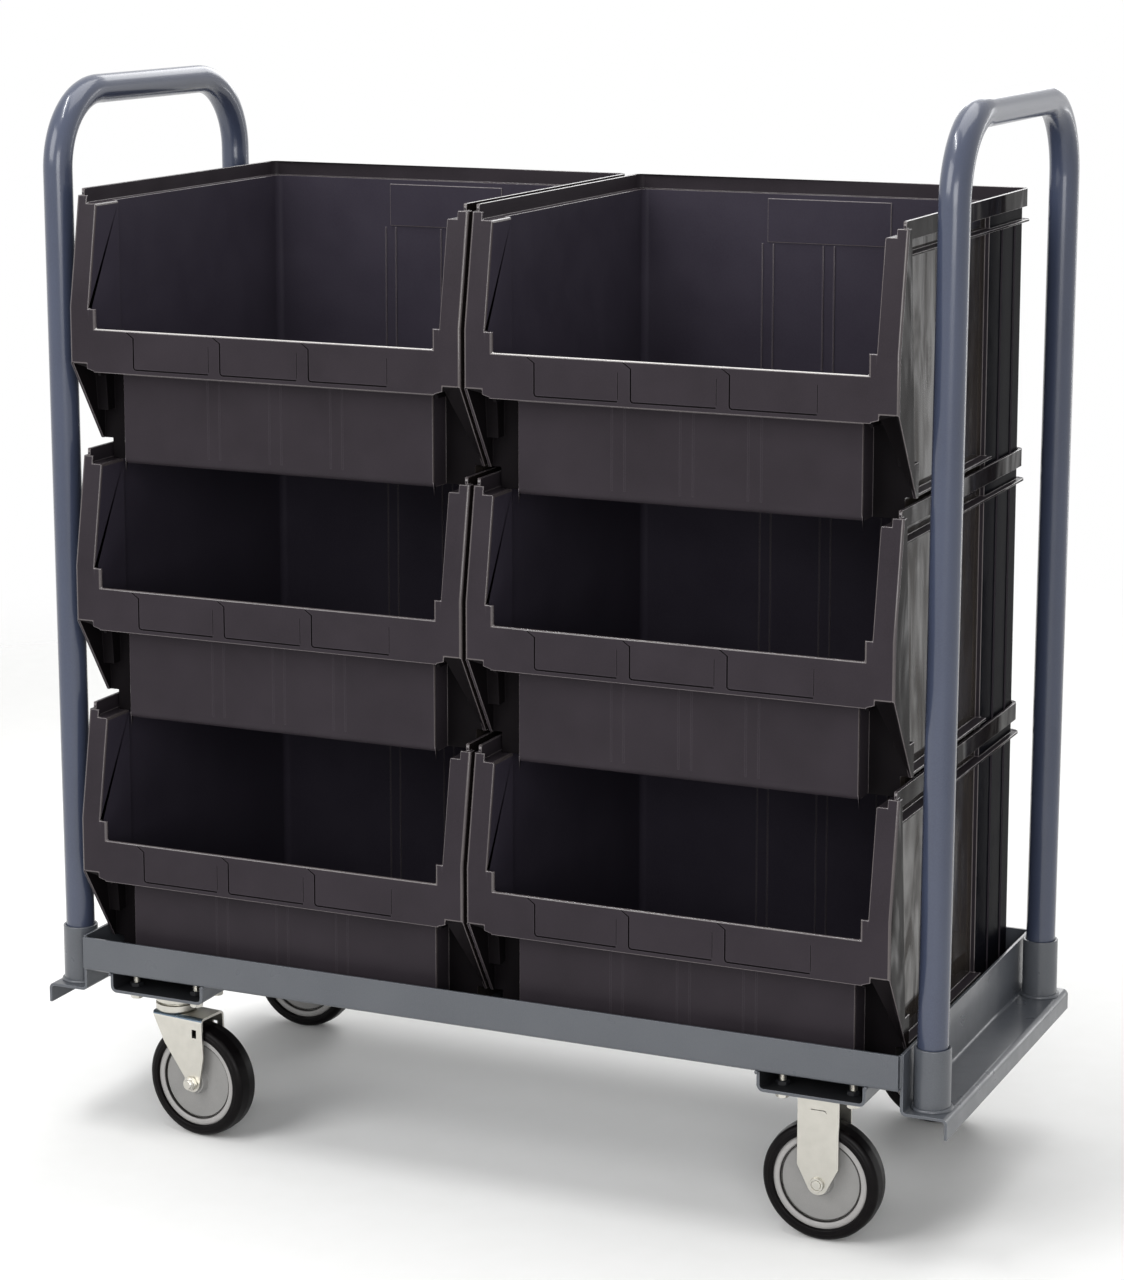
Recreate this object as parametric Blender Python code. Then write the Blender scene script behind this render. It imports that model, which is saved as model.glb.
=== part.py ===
"""Mobile bin cart: a welded steel base on four casters, two tube handles and six stacking bins.

Metres, +Z up. X runs along the cart, Y from the open bin fronts (-Y) to the back (+Y).
The origin is on the floor under the middle of the whole cart, bins included.
"""

import math

import bmesh
import bpy
from mathutils import Matrix, Vector

# Clearance between pieces that touch
GAP = 0.0003

# Base frame
FRAME_HALF_LENGTH = 0.4745
FRAME_HALF_DEPTH = 0.2286
RAIL_BOTTOM = 0.1830
RAIL_LEG = 0.0381
RAIL_THICKNESS = 0.0032
END_HALF_DEPTH = 0.2214
END_TOP = RAIL_BOTTOM + RAIL_LEG
END_WEB_BOTTOM = 0.1570
END_OUTER = 0.5240
END_LIP_BOTTOM = 0.1380
END_BEND = 0.0030
SHEET = 0.0032
DECK_THICKNESS = 0.0019
DECK_INSET = 0.0082
DECK_END_GAP = 0.0010

# Channels that carry the casters
CHANNEL_WIDTH = 0.1170
CHANNEL_BOTTOM = 0.1620
CHANNEL_HALF_DEPTH = 0.2270
CHANNEL_SHEET = 0.0035
CHANNEL_BEND = 0.0040

# Handles and their sockets
POST_X = 0.4990
POST_Y = 0.1930
TUBE_OUTER = 0.015875
TUBE_INNER = 0.013875
HANDLE_TOP = 1.1680
HANDLE_BEND = 0.0850
HANDLE_SPLAY = 0.0065
SOCKET_OUTER = 0.01905
SOCKET_INNER = 0.0164
SOCKET_HEIGHT = 0.0635
TUBE_SIDES = 14
SOCKET_SIDES = 18
BEND_STEPS = 6

# Casters
CASTER_X = 0.3820
CASTER_Y = 0.1825
TRAIL = 0.0340
WHEEL_RADIUS = 0.0635
TYRE_WIDTH = 0.0320
HUB_RADIUS = 0.0508
AXLE_RADIUS = 0.0047
PLATE_LENGTH = 0.0920
PLATE_DEPTH = 0.0600
PLATE_THICKNESS = 0.0035
BOLT_SPACING_X = 0.0762
BOLT_SPACING_Y = 0.0445
BOLT_RADIUS = 0.0040
HOLE_RADIUS = 0.0047
PLATE_BOTTOM = CHANNEL_BOTTOM - GAP - PLATE_THICKNESS
BOLT_HEAD_RADIUS = 0.0075
BOLT_HEAD_HEIGHT = 0.0055
BOLT_NUT_HEIGHT = 0.0045
BOLT_REACH = 0.0166
FORK_INNER = 0.0182
FORK_SHEET = 0.0028
FORK_BEND = 0.0030
CROWN_TOP = 0.1385
CROWN_FRONT = 0.0190
CROWN_REAR = 0.0475
LEG_END_RADIUS = 0.0105
BRACKET_LEG_WIDTH = 0.0445
TAPER_START = 0.0820
KINGPIN_RADIUS = 0.0060
KINGPIN_HOLE = 0.0066
KINGPIN_HEAD = 0.0060
AXLE_NUT_RADIUS = 0.0081
AXLE_NUT_HEIGHT = 0.0070
RACE_RADIUS = 0.0235
WHEEL_SEGMENTS = 28
CENTRE = (0.0, 0.0)
CUT_REACH = 0.0800
FRONT_SWIVEL_TURN = math.radians(-6.5)
REAR_SWIVEL_TURN = math.radians(180.0)

# Bins; OVERLAP and BITE are how far one block of a bin reaches into the next
BIN_WALL = 0.0035
BIN_HALF_WIDTH = 0.2325
BIN_HEIGHT = 0.2980
TIER_PITCH = 0.2825
COLUMN_PITCH = 0.4690
LEDGE_HEIGHT = TIER_PITCH - GAP
BIN_FRONT = -0.2365
BIN_TOP_FRONT = -0.2140
CHIN_HEIGHT = 0.1060
CHIN_START = 0.2035
CHIN_START_HEIGHT = 0.1040
CHIN_END_HEIGHT = 0.1115
LIP_HEIGHT = 0.1500
LEAN_START = 0.1720
WING_TIP = 0.0220
WING_CORNER = 0.1126
WING_BACK = -0.1750
STRIP_TOP_REAR = -0.2057
STRIP_FOOT_REAR = -0.1850
FOOT_TOP = 0.0580
TAB_INNER = 0.2205
TAB_TOP = 0.2905
NOSE_FRONT = -0.2055
NOSE_HALF_WIDTH = 0.1860
TUB_HALF_WIDTH = 0.2195
TUB_REAR = 0.2005
CORNER_HALF_WIDTH = 0.2245
CORNER_START = 0.0760
CORNER_REAR = 0.2035
RIM_HALF_WIDTH = 0.2290
RIM_REAR = 0.2085
FIN_HEIGHT = 0.2625
FIN_THICKNESS = 0.0025
MOUTH_HALF_WIDTH = 0.2005
MOUTH_TOP_HALF_WIDTH = 0.2085
POCKET_INNER = 0.2120
WING_INNER = 0.2000
WING_TOE = 0.0030
HOPPER_FLOOR = 0.0980
HOPPER_FLOOR_FRONT = 0.1030
WELL_SIDE_FLOOR = 0.1090
NOSE_TOP = 0.1000
NOSE_RADIUS = 0.0080
RIM_FRONT = -0.2120
RIM_INNER_FRONT = -0.2125
TUB_CORNER = 0.0100
RIM_CORNER = 0.0120
OVERLAP = 0.0200
BITE = 0.0010
WELL_FORWARD = -0.3000

# The bins stand a little forward of the frame, so everything moves back by half of that
CENTRE_SHIFT = (-BIN_FRONT - FRAME_HALF_DEPTH) / 2

# Label places on the bins' lips
LABEL_LEFTS = (-0.1545, -0.049, 0.0565)
LABEL_WIDTH = 0.0920
LABEL_TOP = 0.1420
LABEL_BOTTOM = 0.1075
GROOVE_WIDTH = 0.0014
GROOVE_DEPTH = 0.0009

TIERS = ("lower", "middle", "upper")
COLUMNS = (("left", -1), ("right", 1))


def clear_scene():
    """Take away whatever the file opened with."""
    for item in list(bpy.data.objects):
        bpy.data.objects.remove(item, do_unlink=True)


def make_material(name, colour, roughness, metallic=0.0):
    """A plain surface with its colour, roughness and metallic value."""
    material = bpy.data.materials.new(name)
    material.use_nodes = True
    shader = material.node_tree.nodes["Principled BSDF"]
    shader.inputs["Base Color"].default_value = (*colour, 1.0)
    shader.inputs["Roughness"].default_value = roughness
    shader.inputs["Metallic"].default_value = metallic
    material.diffuse_color = (*colour, 1.0)
    return material


FINISHES = {
    "frame": ((0.125, 0.135, 0.16), 0.42, 0.0),
    "handle": ((0.15, 0.165, 0.20), 0.35, 0.0),
    "bin": ((0.035, 0.031, 0.033), 0.45, 0.0),
    "zinc": ((0.62, 0.61, 0.58), 0.30, 1.0),
    "hub": ((0.32, 0.31, 0.30), 0.50, 0.0),
    "tyre": ((0.012, 0.010, 0.011), 0.55, 0.0),
}


def add_object(name, mesh, finish, parent=None, place=(0.0, 0.0, 0.0)):
    """Put a mesh in the scene as one named piece with its own material."""
    piece = bpy.data.objects.new(name, mesh)
    piece.location = place
    piece.parent = parent
    bpy.context.scene.collection.objects.link(piece)
    if not mesh.materials:
        mesh.materials.append(None)
    piece.material_slots[0].link = "OBJECT"
    piece.material_slots[0].material = make_material(name, *FINISHES[finish])
    return piece


def add_axis(name, place, turn=0.0, parent=None):
    """An empty that marks a joint's axis and carries what turns on it."""
    axis = bpy.data.objects.new(name, None)
    axis.empty_display_size = 0.03
    axis.location = place
    axis.rotation_euler = (0.0, 0.0, turn)
    axis.parent = parent
    bpy.context.scene.collection.objects.link(axis)
    return axis


def finish_mesh(work, name):
    """Turn the faces outwards and hand the mesh over."""
    bmesh.ops.recalc_face_normals(work, faces=work.faces)
    mesh = bpy.data.meshes.new(name)
    work.to_mesh(mesh)
    work.free()
    return mesh


def prism(outline, axis, low, high):
    """A closed outline pushed along X, Y or Z from low to high."""
    place = {
        "X": lambda a, b, c: (c, a, b),
        "Y": lambda a, b, c: (a, c, b),
        "Z": lambda a, b, c: (a, b, c),
    }[axis]
    work = bmesh.new()
    ends = []
    for level in (low, high):
        ends.append([work.verts.new(place(a, b, level)) for a, b in outline])
    work.faces.new(ends[0])
    work.faces.new(reversed(ends[1]))
    count = len(outline)
    for i in range(count):
        j = (i + 1) % count
        work.faces.new((ends[0][i], ends[0][j], ends[1][j], ends[1][i]))
    return finish_mesh(work, "prism")


def box(x0, x1, y0, y1, z0, z1):
    """A square block between two corners."""
    return prism([(x0, y0), (x1, y0), (x1, y1), (x0, y1)], "Z", z0, z1)


def arc(centre, radius, start, stop, steps):
    """Points along an arc, angles in degrees."""
    points = []
    for i in range(steps + 1):
        angle = math.radians(start + (stop - start) * i / steps)
        points.append((centre[0] + radius * math.cos(angle), centre[1] + radius * math.sin(angle)))
    return points


def rounded_rectangle(x0, x1, y0, y1, radius, steps=3):
    """A rectangle whose four corners are arcs."""
    corners = (
        ((x1 - radius, y0 + radius), -90),
        ((x1 - radius, y1 - radius), 0),
        ((x0 + radius, y1 - radius), 90),
        ((x0 + radius, y0 + radius), 180),
    )
    outline = []
    for centre, start in corners:
        outline += arc(centre, radius, start, start + 90, steps)
    return outline


def rear_rounded(half, front, rear, radius, steps=3):
    """A rectangle centred on X = 0 with square front corners and rounded rear ones."""
    reach = half - radius
    outline = [(-half, front), (half, front)]
    outline += arc((reach, rear - radius), radius, 0, 90, steps)
    outline += arc((-reach, rear - radius), radius, 90, 180, steps)
    return outline


def circle(centre, radius, sides):
    """A regular outline round a centre."""
    return arc(centre, radius, 0, 360, sides)[:-1]


def bent_strip(path, thickness, bend, steps=3):
    """The section of a bent sheet, from its centre line and the inner radius of its bends."""
    middle = [Vector(point) for point in path]
    spine = [(middle[0], (middle[1] - middle[0]).normalized())]
    radius = bend + thickness / 2
    for before, corner, after in zip(middle, middle[1:], middle[2:]):
        come = (corner - before).normalized()
        leave = (after - corner).normalized()
        turn = come.angle(leave)
        side = 1.0 if come.cross(leave) > 0 else -1.0
        start = corner - come * radius * math.tan(turn / 2)
        centre = start + Vector((-come.y, come.x)) * side * radius
        for i in range(steps + 1):
            spin = Matrix.Rotation(side * turn * i / steps, 2)
            spine.append((centre + spin @ (start - centre), spin @ come))
    spine.append((middle[-1], (middle[-1] - middle[-2]).normalized()))
    left = []
    right = []
    for point, along in spine:
        across = Vector((-along.y, along.x)) * thickness / 2
        left.append(tuple(point + across))
        right.append(tuple(point - across))
    return left + right[::-1]


def turned(profile, segments, axis="Y"):
    """A closed ring profile of (radius, along) points turned round an axis."""
    work = bmesh.new()
    rings = []
    for i in range(segments):
        angle = 2 * math.pi * i / segments
        across = math.cos(angle)
        up = math.sin(angle)
        if axis == "Y":
            ring = [work.verts.new((r * across, h, r * up)) for r, h in profile]
        else:
            ring = [work.verts.new((r * across, r * up, h)) for r, h in profile]
        rings.append(ring)
    count = len(profile)
    for i in range(segments):
        here = rings[i]
        there = rings[(i + 1) % segments]
        for j in range(count):
            k = (j + 1) % count
            work.faces.new((here[j], here[k], there[k], there[j]))
    return finish_mesh(work, "turned")


def smooth(mesh, angle=35.0):
    """Shade a round piece smooth and keep its real edges."""
    mesh.shade_smooth()
    mesh.set_sharp_from_angle(angle=math.radians(angle))
    return mesh


def combine(base, joins=(), cuts=(), keeps=()):
    """Join, cut or intersect closed meshes and return the one solid that is left."""
    body = bpy.data.objects.new("work", base)
    bpy.context.scene.collection.objects.link(body)
    helpers = []
    for operation, meshes in (("UNION", joins), ("INTERSECT", keeps), ("DIFFERENCE", cuts)):
        for mesh in meshes:
            helper = bpy.data.objects.new("helper", mesh)
            bpy.context.scene.collection.objects.link(helper)
            helper.hide_render = True
            helper.display_type = "WIRE"
            step = body.modifiers.new(operation, "BOOLEAN")
            step.operation = operation
            step.solver = "EXACT"
            step.object = helper
            helpers.append(helper)
    graph = bpy.context.evaluated_depsgraph_get()
    result = bpy.data.meshes.new_from_object(body.evaluated_get(graph))
    for item in (body, *helpers):
        bpy.data.objects.remove(item, do_unlink=True)
    return result


def tube_along(points, outer, inner, sides):
    """An open-ended tube swept along points that lie close to one plane of constant X."""
    work = bmesh.new()
    rings = []
    count = len(points)
    for i in range(count):
        before = points[max(i - 1, 0)]
        after = points[min(i + 1, count - 1)]
        along = (after - before).normalized()
        side = Vector((1.0, 0.0, 0.0))
        side = (side - along * side.dot(along)).normalized()
        up = along.cross(side)
        pair = []
        for radius in (outer, inner):
            ring = []
            for j in range(sides):
                angle = 2 * math.pi * j / sides
                offset = side * math.cos(angle) + up * math.sin(angle)
                ring.append(work.verts.new(points[i] + offset * radius))
            pair.append(ring)
        rings.append(pair)
    for j in range(sides):
        k = (j + 1) % sides
        for i in range(count - 1):
            for layer in (0, 1):
                here = rings[i][layer]
                there = rings[i + 1][layer]
                work.faces.new((here[j], here[k], there[k], there[j]))
        for end in (0, count - 1):
            wide, narrow = rings[end]
            work.faces.new((wide[j], wide[k], narrow[k], narrow[j]))
    return finish_mesh(work, "tube")


def hexagon(radius):
    """A hexagon round the origin, with its flats top and bottom."""
    return circle((0.0, 0.0), radius, 6)


def build_rails():
    """Front and rear angle irons that the deck lies on."""
    half = RAIL_THICKNESS / 2
    for name, side in (("front_rail", -1), ("rear_rail", 1)):
        outer = side * (FRAME_HALF_DEPTH - half)
        inner = side * (FRAME_HALF_DEPTH - RAIL_LEG)
        low = RAIL_BOTTOM + half
        path = [(outer, RAIL_BOTTOM + RAIL_LEG), (outer, low), (inner, low)]
        section = bent_strip(path, RAIL_THICKNESS, 0.0015)
        reach = FRAME_HALF_LENGTH - GAP
        add_object(name, prism(section, "X", -reach, reach), "frame")


def build_ends():
    """Folded end plates: a wall up against the rails, a web outwards and a lip down."""
    half = SHEET / 2
    for name, side in (("left_end_channel", -1), ("right_end_channel", 1)):
        wall = side * (FRAME_HALF_LENGTH + half)
        lip = side * (END_OUTER - half)
        web = END_WEB_BOTTOM + half
        path = [(wall, END_TOP), (wall, web), (lip, web), (lip, END_LIP_BOTTOM)]
        section = bent_strip(path, SHEET, END_BEND)
        add_object(name, prism(section, "Y", -END_HALF_DEPTH, END_HALF_DEPTH), "frame")


def build_deck():
    """The steel sheet that the lower bins stand on."""
    low = RAIL_BOTTOM + RAIL_THICKNESS + GAP
    x = FRAME_HALF_LENGTH - DECK_END_GAP
    y = FRAME_HALF_DEPTH - DECK_INSET
    add_object("deck", box(-x, x, -y, y, low, low + DECK_THICKNESS), "frame")
    return low + DECK_THICKNESS


def bolt_places(x, y):
    """The four bolt centres of the caster at x, y."""
    places = []
    for dx in (-BOLT_SPACING_X / 2, BOLT_SPACING_X / 2):
        for dy in (-BOLT_SPACING_Y / 2, BOLT_SPACING_Y / 2):
            places.append((x + dx, y + dy))
    return places


def build_channels():
    """Two channels under the rails that the caster plates bolt to."""
    half = CHANNEL_SHEET / 2
    top = RAIL_BOTTOM - GAP
    bottom = CHANNEL_BOTTOM + half
    reach = CHANNEL_WIDTH / 2 - half
    for name, side in COLUMNS:
        x = side * CASTER_X
        path = [(x - reach, top), (x - reach, bottom), (x + reach, bottom), (x + reach, top)]
        section = bent_strip(path, CHANNEL_SHEET, CHANNEL_BEND)
        channel = prism(section, "Y", -CHANNEL_HALF_DEPTH, CHANNEL_HALF_DEPTH)
        low = CHANNEL_BOTTOM - 0.01
        high = CHANNEL_BOTTOM + 0.01
        holes = []
        for y in (-CASTER_Y, CASTER_Y):
            for place in bolt_places(x, y):
                holes.append(prism(circle(place, HOLE_RADIUS, 12), "Z", low, high))
        add_object(f"{name}_caster_channel", combine(channel, cuts=holes), "frame")


def build_sockets():
    """Short tubes that stand on the end webs and hold the handle legs."""
    low = END_WEB_BOTTOM + SHEET + GAP
    profile = [
        (SOCKET_INNER, low),
        (SOCKET_OUTER, low),
        (SOCKET_OUTER, low + SOCKET_HEIGHT - 0.001),
        (SOCKET_OUTER - 0.001, low + SOCKET_HEIGHT),
        (SOCKET_INNER, low + SOCKET_HEIGHT),
    ]
    mesh = smooth(turned(profile, SOCKET_SIDES, "Z"))
    for name, side in COLUMNS:
        for end, y in (("front", -POST_Y), ("rear", POST_Y)):
            add_object(f"{name}_{end}_socket", mesh.copy(), "frame", place=(side * POST_X, y, 0.0))


def handle_route(side):
    """Centre line of a handle: up from the front socket, over, and down into the rear one."""
    foot = END_WEB_BOTTOM + SHEET + 2 * GAP
    mouth = END_WEB_BOTTOM + SHEET + SOCKET_HEIGHT
    top = HANDLE_TOP - TUBE_OUTER
    shoulder = top - HANDLE_BEND
    flat = [(-POST_Y, foot), (-POST_Y, mouth)]
    flat += arc((-POST_Y + HANDLE_BEND, shoulder), HANDLE_BEND, 180, 90, BEND_STEPS)
    flat += arc((POST_Y - HANDLE_BEND, shoulder), HANDLE_BEND, 90, 0, BEND_STEPS)
    flat += [(POST_Y, mouth), (POST_Y, foot)]
    route = []
    for y, z in flat:
        splay = HANDLE_SPLAY * max(z - mouth, 0.0) / (top - mouth)
        route.append(Vector((side * (POST_X + splay), y, z)))
    return route


def build_handles():
    """One bent tube at each end of the cart."""
    for name, side in COLUMNS:
        mesh = tube_along(handle_route(side), TUBE_OUTER, TUBE_INNER, TUBE_SIDES)
        add_object(f"{name}_handle", smooth(mesh), "handle")


def bolt_mesh():
    """A caster bolt: its head under the plate, a thin nut in the channel and a shank up to the rail."""
    head_top = PLATE_BOTTOM - GAP
    nut_bottom = CHANNEL_BOTTOM + CHANNEL_SHEET + GAP
    head = prism(hexagon(BOLT_HEAD_RADIUS), "Z", head_top - BOLT_HEAD_HEIGHT, head_top)
    shank = prism(circle(CENTRE, BOLT_RADIUS, 10), "Z", head_top - 0.003, nut_bottom + BOLT_REACH)
    nut = prism(hexagon(BOLT_HEAD_RADIUS), "Z", nut_bottom, nut_bottom + BOLT_NUT_HEIGHT)
    return combine(shank, joins=(head, nut))


def build_bolts():
    """Four bolts for each caster."""
    mesh = bolt_mesh()
    for name, side in COLUMNS:
        for end, y in (("front", -CASTER_Y), ("rear", CASTER_Y)):
            for number, (bx, by) in enumerate(bolt_places(side * CASTER_X, y), start=1):
                add_object(f"{name}_{end}_bolt_{number}", mesh.copy(), "zinc", place=(bx, by, 0.0))


def plate_mesh(centre_hole):
    """A caster's top plate with its bolt holes, centred on the origin."""
    top = PLATE_BOTTOM + PLATE_THICKNESS
    x = PLATE_LENGTH / 2
    y = PLATE_DEPTH / 2
    plate = prism(rounded_rectangle(-x, x, -y, y, 0.008), "Z", PLATE_BOTTOM, top)
    holes = []
    for place in bolt_places(0.0, 0.0):
        holes.append(prism(circle(place, HOLE_RADIUS, 12), "Z", top - 0.02, top + 0.01))
    if centre_hole:
        holes.append(prism(circle(CENTRE, KINGPIN_HOLE, 16), "Z", top - 0.02, top + 0.01))
    return combine(plate, cuts=holes)


def leg_pair(outline, crown_top):
    """A sheet bent down on both sides of the wheel, its legs cut to an outline in X and Z."""
    half = FORK_SHEET / 2
    reach = FORK_INNER + half
    crown = crown_top - half
    path = [(-reach, 0.02), (-reach, crown), (reach, crown), (reach, 0.02)]
    section = bent_strip(path, FORK_SHEET, FORK_BEND)
    bent = prism(section, "X", -CUT_REACH, CUT_REACH)
    shape = prism(outline, "Y", -CUT_REACH, CUT_REACH)
    return combine(bent, keeps=(shape,))


def axle_hole(x):
    """A cutter for the axle holes in both legs."""
    hole = circle((x, WHEEL_RADIUS), AXLE_RADIUS + 0.0004, 14)
    return prism(hole, "Y", -CUT_REACH, CUT_REACH)


def fork_mesh():
    """The swivel fork, with the kingpin on the origin and the wheel behind it."""
    over = CROWN_TOP + 0.01
    outline = [
        (-CROWN_FRONT, over),
        (-CROWN_FRONT, CROWN_TOP - 0.0015),
        (-0.003, 0.1045),
        (TRAIL - 0.0095, WHEEL_RADIUS + 0.0045),
    ]
    outline += arc((TRAIL, WHEEL_RADIUS), LEG_END_RADIUS, 180, 360, 6)
    outline += [(CROWN_REAR + 0.0025, 0.0950), (CROWN_REAR, over)]
    fork = leg_pair(outline, CROWN_TOP)
    pin_hole = prism(circle(CENTRE, KINGPIN_HOLE, 16), "Z", CROWN_TOP - 0.02, over)
    slot = box(0.0350, 0.0410, -CUT_REACH, CUT_REACH, 0.1155, 0.1250)
    return combine(fork, cuts=(pin_hole, axle_hole(TRAIL), slot))


def bracket_mesh():
    """The rigid caster's bracket: top plate and two legs in one piece."""
    over = PLATE_BOTTOM + 0.01
    half = BRACKET_LEG_WIDTH / 2
    outline = [(half, over), (-half, over), (-half, TAPER_START)]
    outline += arc((0.0, WHEEL_RADIUS), LEG_END_RADIUS + 0.001, 200, 340, 6)
    outline += [(half, TAPER_START)]
    legs = leg_pair(outline, PLATE_BOTTOM + 0.001)
    return combine(plate_mesh(False), joins=(legs,), cuts=(axle_hole(0.0),))


def tyre_mesh():
    """The tyre: a flat tread with rounded shoulders, on the hub's rim."""
    inner = HUB_RADIUS + GAP
    half = TYRE_WIDTH / 2
    shoulder = 0.0075
    side = arc((WHEEL_RADIUS - shoulder, half - shoulder), shoulder, 90, 0, 3)
    profile = [(inner, half - 0.0015), (inner + 0.0012, half)] + side
    profile += [(r, -h) for r, h in reversed(profile)]
    return smooth(turned(profile, WHEEL_SEGMENTS))


def hub_mesh():
    """The wheel centre: a rim ring, a groove, a sunk disc and a boss with its bore."""
    profile = [
        (AXLE_RADIUS + 0.0005, 0.0172),
        (0.0130, 0.0172),
        (0.0150, 0.0100),
        (0.0415, 0.0095),
        (0.0422, 0.0075),
        (0.0442, 0.0075),
        (0.0450, 0.0130),
        (HUB_RADIUS, 0.0122),
    ]
    profile += [(r, -h) for r, h in reversed(profile)]
    return smooth(turned(profile, WHEEL_SEGMENTS))


def axle_mesh(front_end, rear_end, heads):
    """A pin along Y with a head where heads says: an outline and its range on Y."""
    pin = prism(circle(CENTRE, AXLE_RADIUS, 12), "Y", front_end, rear_end)
    joins = [prism(outline, "Y", low, high) for outline, low, high in heads]
    return combine(pin, joins=joins)


def build_wheel(prefix, parent, place):
    """A tyre on its hub, both centred on the axle."""
    axis = add_axis(f"{prefix}_wheel_axis", place, parent=parent)
    add_object(f"{prefix}_tyre", tyre_mesh(), "tyre", parent=axis)
    add_object(f"{prefix}_hub", hub_mesh(), "hub", parent=axis)


def build_swivel_caster(prefix, x, y, turn):
    """A caster that turns on its kingpin: fixed plate and race, turning fork and wheel."""
    add_object(f"{prefix}_top_plate", plate_mesh(True), "zinc", place=(x, y, 0.0))
    low = CROWN_TOP + GAP
    high = PLATE_BOTTOM - GAP
    middle = (low + high) / 2
    race = [
        (KINGPIN_HOLE, low),
        (RACE_RADIUS - 0.001, low),
        (RACE_RADIUS, middle - 0.002),
        (RACE_RADIUS - 0.003, middle),
        (RACE_RADIUS, middle + 0.002),
        (RACE_RADIUS, high),
        (KINGPIN_HOLE, high),
    ]
    add_object(f"{prefix}_swivel_race", smooth(turned(race, 20, "Z")), "zinc", place=(x, y, 0.0))
    axis = add_axis(f"{prefix}_swivel_axis", (x, y, 0.0), turn)
    add_object(f"{prefix}_fork", fork_mesh(), "zinc", parent=axis)
    pin_head_top = CROWN_TOP - FORK_SHEET - GAP
    pin_top = CHANNEL_BOTTOM - 3 * GAP
    pin = prism(circle(CENTRE, KINGPIN_RADIUS, 14), "Z", pin_head_top - 0.004, pin_top)
    pin_head = prism(hexagon(0.0105), "Z", pin_head_top - KINGPIN_HEAD, pin_head_top)
    add_object(f"{prefix}_kingpin", combine(pin, joins=(pin_head,)), "zinc", parent=axis)
    wheel_place = (TRAIL, 0.0, WHEEL_RADIUS)
    outer = FORK_INNER + FORK_SHEET + GAP
    axle_head = (hexagon(AXLE_NUT_RADIUS), outer, outer + 0.005)
    axle = axle_mesh(-outer - AXLE_NUT_HEIGHT - 0.0015, outer + 0.001, (axle_head,))
    add_object(f"{prefix}_axle", axle, "zinc", parent=axis, place=wheel_place)
    nut = prism(hexagon(AXLE_NUT_RADIUS), "Y", -outer - AXLE_NUT_HEIGHT, -outer)
    bore = prism(circle(CENTRE, AXLE_RADIUS + GAP, 12), "Y", -CUT_REACH, 0.0)
    nut = combine(nut, cuts=(bore,))
    add_object(f"{prefix}_axle_nut", nut, "zinc", parent=axis, place=wheel_place)
    build_wheel(prefix, axis, wheel_place)


def build_rigid_caster(prefix, x, y):
    """A caster that always rolls along X."""
    add_object(f"{prefix}_bracket", bracket_mesh(), "zinc", place=(x, y, 0.0))
    outer = FORK_INNER + FORK_SHEET + GAP
    round_head = circle(CENTRE, 0.0075, 16)
    heads = ((round_head, outer, outer + 0.0035), (round_head, -outer - 0.0035, -outer))
    axle = axle_mesh(-outer - 0.001, outer + 0.001, heads)
    add_object(f"{prefix}_axle", axle, "zinc", place=(x, y, WHEEL_RADIUS))
    build_wheel(prefix, None, (x, y, WHEEL_RADIUS))


def build_casters():
    """Swivel casters at the left end and rigid ones at the right end."""
    build_swivel_caster("left_front", -CASTER_X, -CASTER_Y, FRONT_SWIVEL_TURN)
    build_swivel_caster("left_rear", -CASTER_X, CASTER_Y, REAR_SWIVEL_TURN)
    build_rigid_caster("right_front", CASTER_X, -CASTER_Y)
    build_rigid_caster("right_rear", CASTER_X, CASTER_Y)


def nose_outline(front, rear, low, high, radius):
    """Side view of the tub's front wall, with its lower front edge rounded."""
    outline = [(rear, high), (rear, low)]
    outline += arc((front + radius, low + radius), radius, 270, 180, 3)
    outline.append((front, high))
    return outline


def lean_at(height):
    """How far forward the face plate stands at a height above the base."""
    share = (height - LEAN_START) / (BIN_HEIGHT - LEAN_START)
    return BIN_FRONT + (BIN_TOP_FRONT - BIN_FRONT) * max(share, 0.0)


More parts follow.
